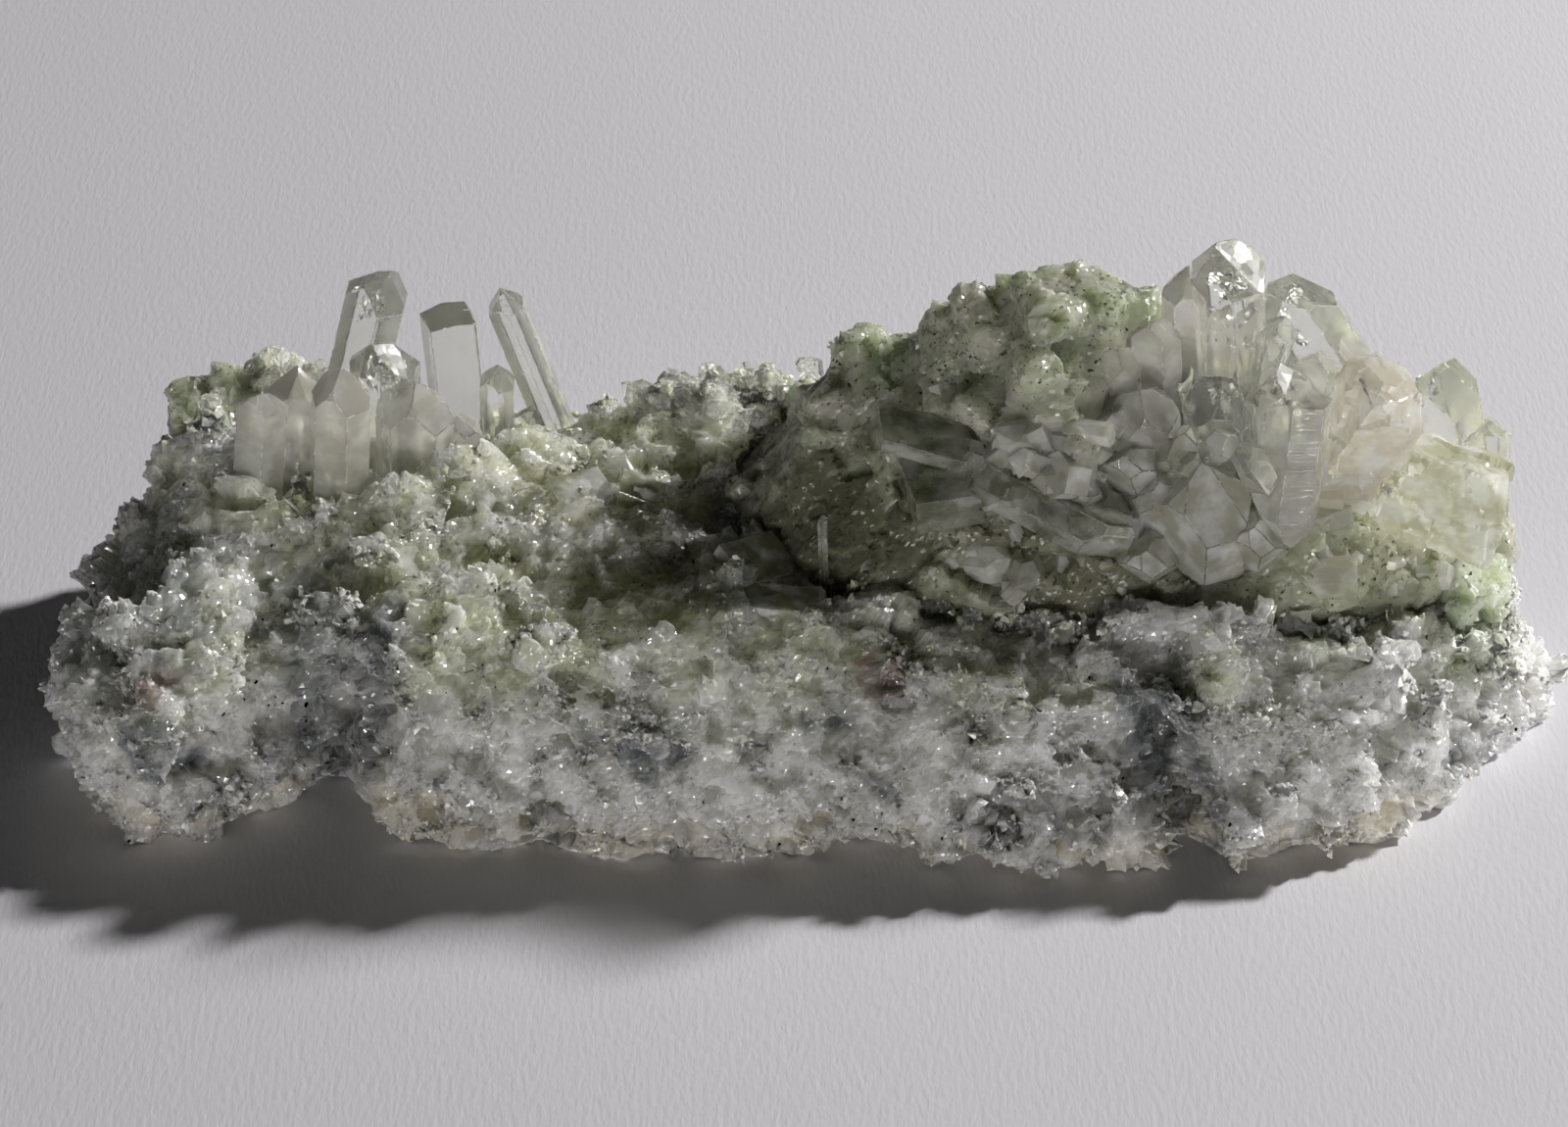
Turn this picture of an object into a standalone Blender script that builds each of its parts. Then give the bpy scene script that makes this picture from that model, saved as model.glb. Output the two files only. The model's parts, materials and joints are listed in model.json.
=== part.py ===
"""Fluorite with quartz and calcite: a hand specimen on its granular matrix.

A long, low slab of sugary calcite rock carries a mound of green fluorite and
clear quartz crystals. +X runs along the slab, +Y goes from the broken front
to the back, +Z is up, and the origin is the middle of the foot of its box.

Lengths in the tables are millimetres, counted from a point under the slab's
middle. MM turns them into metres, and stand_on_origin() moves the finished
pieces to the origin.
"""
import math
import random
from collections import namedtuple

import bmesh
import bpy
from mathutils import Matrix, Vector, noise

MM = 0.001
SPECIMEN = "fluorite_with_quartz_and_calcite"

# Driving dimensions, in mm
GAP = 0.3                 # air kept between a crystal and the pocket it sits in
SLAB_STEPS = 56           # sections along the slab
SLAB_POINTS = 30          # points round each section
MOUND_STEPS = 22
MOUND_POINTS = 22
MOUND_FLOOR = 11.0        # the mound is rooted this far above the foot
FLAT_MARGIN = 3.2         # the underside's rim rises outside this margin
LUMP_SIZE = 5.2           # wide lumps of the broken rock
LUMP_HEIGHT = 1.0
GRAIN_SIZE = 2.3          # the coarsest grains
GRAIN_HEIGHT = 0.7
WELD = 0.004              # corners closer than this are one corner
FLAT_ANGLE = math.radians(0.3)     # faces that meet flatter than this are one face
POINT_SLANT = math.radians(51.8)   # quartz: a tip face's normal from the crystal's axis
CLEAVE_SKEW = math.radians(15.0)   # calcite: a cleavage rhomb is 15 degrees off square

# The slab's section at x: foot of the broken front (rim), its brow, the back
# edge of the deck and the foot of the back, each as a distance y and height z
Section = namedtuple("Section", "x rim_y rim_z brow_y brow_z edge_y edge_z foot_y")
SLAB = (
    Section(-47.0, -6.4, 2.6, -5.2, 6.4, -1.0, 6.6, -1.0),
    Section(-45.8, -9.0, 2.0, -7.8, 9.6, 1.2, 9.0, 1.0),
    Section(-44.0, -11.6, 1.8, -9.8, 11.0, 2.8, 10.8, 2.6),
    Section(-42.2, -13.2, 1.6, -10.6, 11.6, 5.6, 12.8, 5.4),
    Section(-40.8, -13.8, 1.5, -11.0, 11.9, 9.0, 14.2, 8.8),
    Section(-39.6, -14.0, 1.5, -11.0, 11.9, 13.4, 15.4, 13.2),
    Section(-36.0, -13.4, 1.5, -10.8, 11.9, 15.0, 16.4, 15.2),
    Section(-33.4, -11.8, 1.6, -9.4, 11.7, 14.6, 16.4, 15.4),
    Section(-31.0, -9.9, 2.6, -6.8, 11.6, 14.3, 16.2, 15.4),
    Section(-28.6, -9.5, 3.4, -6.4, 12.4, 14.0, 15.4, 15.2),
    Section(-26.8, -10.6, 3.0, -7.6, 13.2, 14.0, 15.0, 15.2),
    Section(-25.0, -14.0, 1.6, -9.6, 13.8, 14.0, 14.7, 15.0),
    Section(-20.0, -14.5, 1.5, -9.6, 14.0, 13.8, 14.2, 15.0),
    Section(-15.0, -14.7, 1.5, -9.2, 14.2, 13.6, 14.0, 14.8),
    Section(-11.0, -15.6, 1.4, -9.0, 14.4, 13.6, 14.8, 14.8),
    Section(-7.3, -16.7, 1.4, -9.0, 14.2, 13.6, 15.8, 15.0),
    Section(-1.8, -15.3, 1.6, -8.6, 13.8, 13.6, 16.8, 15.0),
    Section(5.2, -14.2, 1.8, -8.4, 12.8, 13.6, 16.0, 15.0),
    Section(9.7, -16.6, 1.5, -9.6, 12.4, 13.6, 15.2, 15.0),
    Section(17.6, -17.2, 1.4, -10.0, 12.0, 13.6, 14.4, 14.8),
    Section(23.4, -16.2, 1.6, -9.6, 11.8, 13.0, 14.0, 14.4),
    Section(25.4, -15.0, 2.4, -8.2, 11.6, 12.8, 14.0, 14.2),
    Section(27.4, -17.0, 1.5, -9.8, 11.8, 12.6, 14.0, 14.0),
    Section(33.0, -15.2, 1.5, -9.6, 11.8, 12.0, 13.4, 13.4),
    Section(36.7, -14.8, 1.6, -9.2, 11.6, 11.6, 13.0, 12.8),
    Section(39.3, -13.4, 1.8, -8.6, 11.6, 11.0, 12.8, 12.0),
    Section(43.7, -9.0, 2.0, -5.8, 11.2, 9.6, 11.8, 10.0),
    Section(46.6, -6.6, 2.2, -4.0, 9.4, 7.6, 9.8, 7.6),
    Section(48.6, -4.4, 2.6, -2.4, 7.0, 5.0, 7.4, 5.0),
    Section(49.6, -2.8, 3.0, -1.4, 5.2, 3.0, 5.4, 3.0),
)

# The mound's section at x: its front foot, its crest and its back foot
Ridge = namedtuple("Ridge", "x front_y crest_y crest_z back_y")
MOUND = (
    Ridge(-3.2, 0.6, 3.4, 15.0, 6.4),
    Ridge(-1.4, -1.6, 4.6, 17.4, 9.6),
    Ridge(1.8, -3.0, 6.4, 21.0, 12.0),
    Ridge(4.3, -3.5, 6.8, 22.8, 13.0),
    Ridge(6.4, -3.8, 6.8, 24.4, 13.4),
    Ridge(9.9, -4.1, 6.4, 27.2, 13.4),
    Ridge(12.6, -4.3, 6.0, 29.0, 13.4),
    Ridge(15.0, -4.4, 5.6, 30.0, 13.4),
    Ridge(19.2, -4.4, 5.4, 30.0, 13.2),
    Ridge(22.0, -4.4, 5.0, 28.6, 13.0),
    Ridge(26.0, -4.2, 4.6, 27.6, 12.4),
    Ridge(30.0, -4.2, 4.0, 25.8, 12.0),
    Ridge(36.0, -4.0, 3.2, 22.2, 11.0),
    Ridge(40.0, -3.4, 2.8, 19.2, 10.0),
    Ridge(44.0, -1.8, 2.4, 15.4, 7.6),
    Ridge(45.6, 0.0, 2.2, 13.0, 5.0),
)

# A quartz prism grows from root to tip; flat squashes it along one side, turn
# spins it on its axis, and each bite lowers one of the six tip faces
Prism = namedtuple("Prism", "root tip width flat turn bites")
# A block is a box at a centre, tilted by three angles in degrees; skew makes
# it a calcite rhomb, and chips cut its corners
Block = namedtuple("Block", "centre size tilt skew chips")

SHARP = (0.0, 0.0, 0.3, 0.0, 0.2, 0.1)
CHISEL = (0.0, 1.6, 1.2, 0.0, 1.4, 1.0)
SLANT = (1.6, 2.2, 0.6, 0.0, 0.4, 1.2)
BLUNT = (1.6, 0.8, 1.8, 1.2, 2.0, 1.4)

QUARTZ_LEFT = (
    Prism((-29.4, 9.8, 12.4), (-24.8, 8.6, 30.2), 3.8, 0.80, 12, CHISEL),
    Prism((-28.8, 4.2, 12.0), (-27.6, 5.0, 25.6), 3.5, 0.92, 28, BLUNT),
    Prism((-25.8, 7.8, 12.4), (-25.2, 7.4, 26.0), 4.2, 0.85, 5, SLANT),
    Prism((-23.8, 6.4, 12.6), (-23.2, 6.0, 23.6), 4.2, 0.80, 40, BLUNT),
    Prism((-21.4, 8.2, 12.6), (-21.2, 7.8, 19.8), 3.4, 0.85, 33, SLANT),
    Prism((-26.6, 3.8, 12.2), (-26.0, 3.4, 18.2), 2.8, 0.90, 10, BLUNT),
)
QUARTZ_PAIR = (
    Prism((-34.4, 5.2, 11.2), (-32.7, 5.2, 23.6), 3.2, 0.90, 18, SLANT),
    Prism((-32.2, 7.4, 11.6), (-31.0, 7.6, 22.2), 3.2, 0.85, 50, SHARP),
)
QUARTZ_FLAT_TOP = (
    Block((-21.6, 12.4, 17.2), (3.1, 2.5, 11.6), (4, -3, 22), 0.0, 0.94),
)
QUARTZ_LEANING = (
    Prism((-14.9, 12.3, 12.6), (-18.4, 12.0, 25.1), 2.4, 0.85, 20, SHARP),
)
QUARTZ_POINTS = (
    Prism((-18.9, 10.0, 12.8), (-18.5, 9.4, 20.9), 2.2, 0.85, 15, SHARP),
    Prism((-18.0, 10.4, 12.8), (-16.4, 10.8, 18.4), 1.9, 0.90, 40, SLANT),
)

QUARTZ_RIGHT = (
    Prism((28.8, 2.0, 19.0), (26.4, 1.6, 36.8), 4.4, 0.85, 8, (0.0, 0.6, 0.2, 0.0, 1.0, 0.4)),
    Prism((36.6, 1.6, 22.0), (28.6, 2.2, 34.6), 5.0, 0.62, 24, (0.6, 2.4, 1.2, 0.0, 0.8, 2.0)),
    Prism((30.6, -0.4, 20.0), (29.8, -2.2, 30.6), 3.8, 0.80, 55, CHISEL),
    Prism((27.6, 1.0, 17.0), (26.6, -1.4, 29.4), 4.2, 0.90, 35, BLUNT),
    Prism((31.4, -1.6, 26.6), (30.6, -4.6, 15.6), 3.9, 0.85, 10, SLANT),
    Prism((28.0, 0.0, 23.0), (29.6, -6.0, 22.4), 2.2, 0.90, 20, SHARP),
    Prism((26.0, -1.6, 14.2), (25.4, -3.8, 24.6), 6.4, 0.72, 3, BLUNT),
    Prism((25.6, 3.6, 22.0), (24.6, 3.0, 33.2), 3.0, 0.90, 42, SHARP),
    Prism((23.4, 2.8, 22.0), (22.4, 1.6, 31.8), 3.0, 0.85, 20, SLANT),
    Prism((23.2, 1.4, 18.0), (21.6, -1.4, 28.2), 3.8, 0.85, 48, BLUNT),
    Prism((22.4, 0.0, 18.0), (20.4, -3.0, 24.8), 3.4, 0.85, 8, SLANT),
    Prism((23.4, -1.0, 17.0), (22.6, -4.2, 22.4), 3.0, 0.85, 36, CHISEL),
    Prism((25.0, 0.6, 18.0), (24.0, -2.4, 25.2), 3.4, 0.90, 12, CHISEL),
    Prism((32.8, 4.6, 20.0), (33.6, 4.4, 29.0), 3.6, 0.85, 30, SLANT),
)
QUARTZ_END = (
    Prism((42.8, 2.6, 15.0), (39.8, 1.4, 28.2), 4.6, 0.78, 14, CHISEL),
    Prism((44.2, 1.4, 14.0), (43.0, 0.6, 25.0), 3.2, 0.85, 40, SLANT),
)
CALCITE_CENTRE = (
    Block((35.2, -1.2, 23.4), (4.2, 4.8, 10.2), (8, 14, 6), 0.5, 0.86),
)
CALCITE_END = (
    Block((40.6, -1.4, 19.4), (7.8, 6.0, 6.2), (-16, 6, -14), 0.5, 0.82),
)
CALCITE_BLADE = (
    Prism((12.2, -1.4, 20.8), (23.4, -6.0, 17.2), 4.4, 0.62, 34, (0.0, 1.2, 2.2, 0.4, 1.0, 2.4)),
)
CALCITE_BLOCK = (
    Block((9.6, -2.2, 20.0), (4.2, 4.2, 3.6), (14, -8, 9), 0.4, 0.90),
)
CALCITE_PLATE = (
    Block((8.6, -1.0, 23.0), (5.8, 3.6, 1.2), (2, 6, -6), 0.8, 0.92),
)
NEEDLE = (
    Prism((2.5, -4.6, 12.0), (2.35, -3.2, 18.8), 1.1, 0.9, 10, SHARP),
)
FLUORITE_CORNER = (
    Block((-36.8, 12.2, 13.8), (7.0, 5.4, 5.4), (6, -4, 12), 0.0, 0.86),
)
FLUORITE_EDGE = (
    Block((43.5, -2.6, 12.0), (4.0, 4.0, 4.0), (12, 10, 30), 0.0, 0.84),
)
# Cubes of fluorite grown together over the crest, larger ones placed by hand
CREST_CUBES = (
    Block((16.6, 4.2, 28.4), (5.4, 5.0, 5.0), (10, 6, 28), 0.0, 0.92),
    Block((19.8, 4.4, 28.6), (4.2, 4.4, 4.4), (-8, 12, 50), 0.0, 0.90),
    Block((13.0, 5.0, 27.2), (4.0, 4.0, 4.2), (16, -10, 12), 0.0, 0.92),
    Block((10.4, 6.0, 25.6), (3.4, 3.6, 3.6), (-6, 22, 40), 0.0, 0.90),
    Block((7.4, 6.4, 22.8), (3.4, 3.0, 3.2), (18, 8, 66), 0.0, 0.90),
    Block((22.8, 3.8, 27.6), (3.6, 3.6, 3.8), (4, 16, 20), 0.0, 0.90),
    Block((16.0, 1.4, 26.4), (4.4, 3.8, 4.0), (22, 10, 8), 0.0, 0.90),
    Block((12.2, 0.8, 23.6), (3.6, 3.4, 3.6), (30, -6, 52), 0.0, 0.90),
    Block((18.6, -1.4, 22.4), (3.8, 3.4, 3.6), (-20, 12, 24), 0.0, 0.90),
    Block((14.8, -1.8, 22.0), (3.2, 3.0, 3.2), (12, 28, 44), 0.0, 0.90),
)

# Pits in the broken front
PITS = (
    Block((-40.4, -11.8, 12.2), (3.4, 3.0, 2.4), (24, 8, 14), 0.0, 0.0),
    Block((6.2, -11.8, 11.0), (3.0, 3.2, 2.2), (38, -6, 30), 0.0, 0.0),
)

MOUND_SEED = 31
MOUND_CUBES = 14          # smaller cubes strewn over the mound
DECK_SEED = 12
DECK_GRAINS = 30          # small blocks strewn over the deck
FACE_GRAINS = 22          # and over the broken front
# Clear little crystals stand along the back edge: from x, to x, how many
EDGE_ROWS = ((-40.0, -29.8, 8), (-13.0, 2.0, 11))


def lerp(a, b, t):
    return a + (b - a) * t


def table_at(rows, x):
    """The row of a section table at x, eased between its neighbours."""
    rows_after = [i for i, row in enumerate(rows) if row.x >= x]
    hi = rows_after[0] if rows_after else len(rows) - 1
    lo = max(hi - 1, 0)
    span = rows[hi].x - rows[lo].x
    t = (x - rows[lo].x) / span if span else 0.0
    return type(rows[0])(*(lerp(a, b, t) for a, b in zip(rows[lo], rows[hi])))


def closed_curve(points, count):
    """A smooth closed curve through 2D points, as evenly spaced points."""
    fine = []
    n = len(points)
    steps = 12
    for i in range(n):
        p0, p1, p2, p3 = (points[(i + k - 1) % n] for k in range(4))
        for s in range(steps):
            t = s / steps
            fine.append(tuple(
                0.5 * (2 * b + (c - a) * t + (2 * a - 5 * b + 4 * c - d) * t ** 2
                       + (3 * b - a - 3 * c + d) * t ** 3)
                for a, b, c, d in zip(p0, p1, p2, p3)))
    lengths = [0.0]
    for a, b in zip(fine, fine[1:] + fine[:1]):
        lengths.append(lengths[-1] + math.dist(a, b))
    result = []
    seg = 0
    for k in range(count):
        want = lengths[-1] * k / count
        while lengths[seg + 1] < want:
            seg += 1
        t = (want - lengths[seg]) / (lengths[seg + 1] - lengths[seg])
        a, b = fine[seg], fine[(seg + 1) % len(fine)]
        result.append((lerp(a[0], b[0], t), lerp(a[1], b[1], t)))
    return result


def slab_section(row):
    """The slab's outline at one section: (y, z) points, anticlockwise from +X."""
    middle = lerp(row.rim_y, row.foot_y, 0.5)
    margin = min(FLAT_MARGIN, 0.3 * (row.foot_y - row.rim_y))
    outline = (
        (row.rim_y + margin, 0.0),
        (row.rim_y, row.rim_z),
        (lerp(row.rim_y, row.brow_y, 0.36), lerp(row.rim_z, row.brow_z, 0.56)),
        (row.brow_y, row.brow_z),
        (lerp(row.brow_y, row.edge_y, 0.35), lerp(row.brow_z, row.edge_z, 0.42) + 0.2),
        (lerp(row.brow_y, row.edge_y, 0.7), lerp(row.brow_z, row.edge_z, 0.75)),
        (row.edge_y, row.edge_z),
        (row.foot_y + 0.5, 0.5 * row.edge_z),
        (row.foot_y - 0.3, 1.2),
        (row.foot_y - margin, 0.0),
        (middle, 0.0),
    )
    # Seen from +X the list above runs clockwise, so it is turned round
    return closed_curve(outline[::-1], SLAB_POINTS)


def mound_section(row):
    front = row.front_y
    rise = row.crest_z - MOUND_FLOOR
    outline = (
        (front + 1.2, MOUND_FLOOR),
        (front, MOUND_FLOOR + 0.20 * rise),
        (lerp(front, row.crest_y, 0.22), MOUND_FLOOR + 0.56 * rise),
        (lerp(front, row.crest_y, 0.60), MOUND_FLOOR + 0.88 * rise),
        (row.crest_y, row.crest_z),
        (lerp(row.crest_y, row.back_y, 0.62), MOUND_FLOOR + 0.72 * rise),
        (row.back_y, MOUND_FLOOR + 0.24 * rise),
        (row.back_y - 1.2, MOUND_FLOOR),
    )
    return closed_curve(outline[::-1], MOUND_POINTS)


def loft(rows, section, steps):
    """A closed skin over sections between the table's ends, in mm."""
    bm = bmesh.new()
    rings = []
    first, last = rows[0].x, rows[-1].x
    for i in range(steps):
        x = lerp(first, last, i / (steps - 1))
        ring = [bm.verts.new((x, y, z)) for y, z in section(table_at(rows, x))]
        rings.append(ring)
    for a, b in zip(rings, rings[1:]):
        n = len(a)
        for k in range(n):
            bm.faces.new((a[k], a[(k + 1) % n], b[(k + 1) % n], b[k]))
    for ring in (rings[0][::-1], rings[-1]):
        bmesh.ops.poke(bm, faces=[bm.faces.new(ring)])
    bmesh.ops.recalc_face_normals(bm, faces=bm.faces)
    return bm


def roughen(bm, floor, lump, grain):
    """Moves a skin in and out in lumps and grains; what lies on the floor stays."""
    bm.normal_update()
    moves = []
    for v in bm.verts:
        p = v.co
        wide = noise.noise(p / LUMP_SIZE)
        cell = noise.voronoi(p / GRAIN_SIZE, distance_metric="DISTANCE")[0]
        height = lump * wide + grain * (0.7 - cell[0] * 1.4)
        jitter = noise.noise_vector(p / GRAIN_SIZE) * (0.35 * grain)
        on_floor = p.z <= floor + 0.02
        moves.append((v, Vector() if on_floor else v.normal * height + jitter))
    for v, move in moves:
        v.co += move
        v.co.z = max(v.co.z, floor)
    bmesh.ops.triangulate(bm, faces=bm.faces)


def convex(planes, centre, reach):
    """The convex solid inside all of the planes, each a point and an outward normal."""
    bm = bmesh.new()
    bmesh.ops.create_cube(bm, size=2 * reach, matrix=Matrix.Translation(centre))
    for point, normal in planes:
        geometry = bm.verts[:] + bm.edges[:] + bm.faces[:]
        bmesh.ops.bisect_plane(bm, geom=geometry, dist=1e-6, plane_co=point,
                               plane_no=normal, clear_outer=True)
        rim = [e for e in bm.edges if e.is_boundary]
        if rim:
            bmesh.ops.edgeloop_fill(bm, edges=rim)
    bmesh.ops.recalc_face_normals(bm, faces=bm.faces)
    return bm


def prism_solid(prism, grow):
    """A six-sided crystal with a faceted tip, grown outwards by grow."""
    root, tip = Vector(prism.root), Vector(prism.tip)
    axis = (tip - root).normalized()
    across = axis.orthogonal().normalized()
    planes = [(root - axis * grow, -axis)]
    for k, bite in enumerate(prism.bites):
        turn = math.radians(prism.turn + 60 * k)
        out = Matrix.Rotation(turn, 3, axis) @ across
        reach = 0.5 * prism.width * (prism.flat if k % 3 == 0 else 1.0)
        planes.append((root + out * (reach + grow), out))
        slant = axis * math.cos(POINT_SLANT) + out * math.sin(POINT_SLANT)
        planes.append((tip - axis * bite + slant * grow, slant))
    length = (tip - root).length
    return convex(planes, root.lerp(tip, 0.5), length + prism.width)


def block_solid(block, grow):
    """A cube or a skewed cleavage block with its corners cut, grown outwards by grow."""
    centre = Vector(block.centre)
    turn = Matrix.Rotation(math.radians(block.tilt[2]), 3, "Z")
    turn = turn @ Matrix.Rotation(math.radians(block.tilt[1]), 3, "Y")
    turn = turn @ Matrix.Rotation(math.radians(block.tilt[0]), 3, "X")
    lean = math.tan(CLEAVE_SKEW) * block.skew
    normals = (Vector((1, lean, 0)), Vector((0, 1, lean)), Vector((lean, 0, 1)))
    planes = []
    for normal, size in zip(normals, block.size):
        out = (turn @ normal).normalized()
        planes.append((centre + out * (0.5 * size + grow), out))
        planes.append((centre - out * (0.5 * size + grow), -out))
    diagonal = 0.5 * Vector(block.size).length * block.chips
    corners = ((1, 1, 1), (-1, 1, 1), (1, -1, 1), (-1, -1, -1)) if block.chips else ()
    for corner in corners:
        out = (turn @ Vector([c * s for c, s in zip(corner, block.size)])).normalized()
        planes.append((centre + out * (diagonal + grow), out))
    return convex(planes, centre, max(block.size) + 1.0)


def crystal_solid(shape, grow=0.0):
    if isinstance(shape, Prism):
        return prism_solid(shape, grow)
    return block_solid(shape, grow)


def new_object(name, bm, collection):
    """Puts an edited mesh, in mm, in an object in metres."""
    bmesh.ops.scale(bm, vec=(MM, MM, MM), verts=bm.verts)
    mesh = bpy.data.meshes.new(name)
    bm.to_mesh(mesh)
    bm.free()
    obj = bpy.data.objects.new(name, mesh)
    collection.objects.link(obj)
    return obj


def new_cutter(name, bm, collection):
    obj = new_object(name, bm, collection)
    obj.hide_render = True
    obj.display_type = "WIRE"


def cutter_set(name, shapes, grow):
    """Each shape as an object of its own, in a collection that a Boolean can take."""
    collection = bpy.data.collections.new(name)
    bpy.data.collections["cutters"].children.link(collection)
    for i, shape in enumerate(shapes):
        new_cutter(f"{name}_{i}", crystal_solid(shape, grow), collection)
    return collection


def settle_mesh(obj):
    """Applies an object's modifiers and keeps its largest closed body."""
    graph = bpy.context.evaluated_depsgraph_get()
    mesh = bpy.data.meshes.new_from_object(obj.evaluated_get(graph))
    obj.modifiers.clear()
    bm = bmesh.new()
    bm.from_mesh(mesh)
    bpy.data.meshes.remove(mesh)
    bmesh.ops.remove_doubles(bm, verts=bm.verts, dist=WELD * MM)
    bmesh.ops.dissolve_degenerate(bm, edges=bm.edges, dist=WELD * MM)
    keep_largest(bm)
    bm.to_mesh(obj.data)
    bm.free()


def finish_mesh(obj):
    """Takes out the edges inside flat faces and leaves plain triangles."""
    bm = bmesh.new()
    bm.from_mesh(obj.data)
    bmesh.ops.dissolve_limit(bm, angle_limit=FLAT_ANGLE, verts=bm.verts, edges=bm.edges)
    bmesh.ops.triangulate(bm, faces=bm.faces)
    bm.to_mesh(obj.data)
    bm.free()


def keep_largest(bm):
    """Deletes the crumbs that a cut leaves beside the main body."""
    bm.faces.ensure_lookup_table()
    seen = set()
    bodies = []
    for start in bm.faces:
        if start in seen:
            continue
        body = []
        stack = [start]
        seen.add(start)
        while stack:
            face = stack.pop()
            body.append(face)
            for edge in face.edges:
                for other in edge.link_faces:
                    if other not in seen:
                        seen.add(other)
                        stack.append(other)
        bodies.append(body)
    main = max(bodies, key=len)
    crumbs = [f for body in bodies if body is not main for f in body]
    bmesh.ops.delete(bm, geom=crumbs, context="FACES")


def combine(obj, collection, operation):
    """Joins or cuts an object with every solid of a collection."""
    tool = obj.modifiers.new(operation.lower(), "BOOLEAN")
    tool.operation = operation
    tool.solver = "EXACT"
    tool.operand_type = "COLLECTION"
    tool.collection = collection
    settle_mesh(obj)


def grown_together(name, shapes, collection):
    """One solid of crystals that overlap."""
    obj = new_object(name, crystal_solid(shapes[0]), collection)
    if len(shapes) > 1:
        combine(obj, cutter_set(f"{name}_limbs", shapes[1:], 0.0), "UNION")
    return obj


def strewn_cubes():
    """Small cubes with random turns, sunk to half their size in the mound."""
    draw = random.Random(MOUND_SEED)
    cubes = []
    for _ in range(MOUND_CUBES):
        x = draw.uniform(1.0, 42.0)
        row = table_at(MOUND, x)
        outline = mound_section(row)
        y, z = draw.choice([p for p in outline if p[1] > MOUND_FLOOR + 3.5])
        size = draw.uniform(1.8, 3.2)
        sides = tuple(size * draw.uniform(0.8, 1.2) for _ in range(3))
        tilt = tuple(draw.uniform(-45, 45) for _ in range(3))
        cubes.append(Block((x, y, z), sides, tilt, 0.0, 0.0))
    return cubes


def strewn_grains():
    """Blocky little crystals on the deck and front, and taller ones on the back edge."""
    draw = random.Random(DECK_SEED)
    grains = []
    for i in range(DECK_GRAINS + FACE_GRAINS):
        x = draw.uniform(-42.0, 46.0)
        row = table_at(SLAB, x)
        t = draw.uniform(0.0, 0.95)
        if i < DECK_GRAINS:
            place = (x, lerp(row.brow_y, row.edge_y, t), lerp(row.brow_z, row.edge_z, t))
        else:
            place = (x, lerp(row.brow_y, row.rim_y, t), lerp(row.brow_z, row.rim_z + 1.5, t))
        size = draw.uniform(1.6, 3.0)
        sides = tuple(size * draw.uniform(0.7, 1.3) for _ in range(3))
        tilt = tuple(draw.uniform(-40, 40) for _ in range(3))
        grains.append(Block(place, sides, tilt, draw.uniform(0.0, 1.0), 0.0))
    for start, end, count in EDGE_ROWS:
        for i in range(count):
            x = lerp(start, end, (i + draw.uniform(0.2, 0.8)) / count)
            row = table_at(SLAB, x)
            root = Vector((x, row.edge_y + draw.uniform(-2.6, -0.6), row.edge_z - 1.6))
            rise = Vector((draw.uniform(-1.2, 1.2), draw.uniform(-1.0, 1.0), draw.uniform(3.2, 5.0)))
            width = draw.uniform(1.6, 2.6)
            bites = tuple(draw.uniform(0.0, 0.9) for _ in range(6))
            grains.append(Prism(root, root + rise, width, 0.85, draw.uniform(0, 60), bites))
    return grains


def swell(bm, margin):
    """Moves a skin outwards on every side."""
    bm.normal_update()
    moves = [(v, v.normal * margin) for v in bm.verts]
    for v, move in moves:
        v.co += move


def finish_material(obj, name, colour, roughness):
    material = bpy.data.materials.get(name) or bpy.data.materials.new(name)
    material.use_nodes = True
    shader = material.node_tree.nodes["Principled BSDF"]
    shader.inputs["Base Color"].default_value = (*colour, 1.0)
    shader.inputs["Roughness"].default_value = roughness
    shader.inputs["Metallic"].default_value = 0.0
    obj.data.materials.clear()
    obj.data.materials.append(material)


QUARTZ = ("quartz_clear", (0.80, 0.81, 0.78), 0.08)
CALCITE = ("calcite_pale", (0.78, 0.78, 0.68), 0.22)
FLUORITE = ("fluorite_green", (0.42, 0.58, 0.38), 0.25)
ROCK = ("matrix_granular", (0.50, 0.53, 0.46), 0.55)

Piece = namedtuple("Piece", "name shapes finish")
# In the order of what gives way: a later piece is cut by all before it
CRYSTALS = (
    Piece("quartz_cluster_left", QUARTZ_LEFT, QUARTZ),
    Piece("quartz_pair_left", QUARTZ_PAIR, QUARTZ),
    Piece("quartz_prism_flat_top", QUARTZ_FLAT_TOP, QUARTZ),
    Piece("quartz_prism_leaning", QUARTZ_LEANING, QUARTZ),
    Piece("quartz_points_small", QUARTZ_POINTS, QUARTZ),
    Piece("quartz_needle", NEEDLE, QUARTZ),
    Piece("quartz_cluster_right", QUARTZ_RIGHT, QUARTZ),
    Piece("quartz_prism_end", QUARTZ_END, QUARTZ),
    Piece("calcite_block_centre", CALCITE_CENTRE, CALCITE),
    Piece("calcite_block_end", CALCITE_END, CALCITE),
    Piece("calcite_blade", CALCITE_BLADE, CALCITE),
    Piece("calcite_block_left", CALCITE_BLOCK, CALCITE),
    Piece("calcite_plate", CALCITE_PLATE, CALCITE),
    Piece("fluorite_corner", FLUORITE_CORNER, FLUORITE),
    Piece("fluorite_edge", FLUORITE_EDGE, FLUORITE),
)


def make_crystals(collection):
    pockets = []
    for piece in CRYSTALS:
        obj = grown_together(piece.name, piece.shapes, collection)
        for pocket in pockets:
            combine(obj, pocket, "DIFFERENCE")
        pockets.append(cutter_set(f"{piece.name}_pocket", piece.shapes, GAP))
        finish_material(obj, *piece.finish)
    return pockets


def mound_skin():
    skin = loft(MOUND, mound_section, MOUND_STEPS)
    roughen(skin, MOUND_FLOOR, 1.1 * LUMP_HEIGHT, GRAIN_HEIGHT)
    return skin


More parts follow.
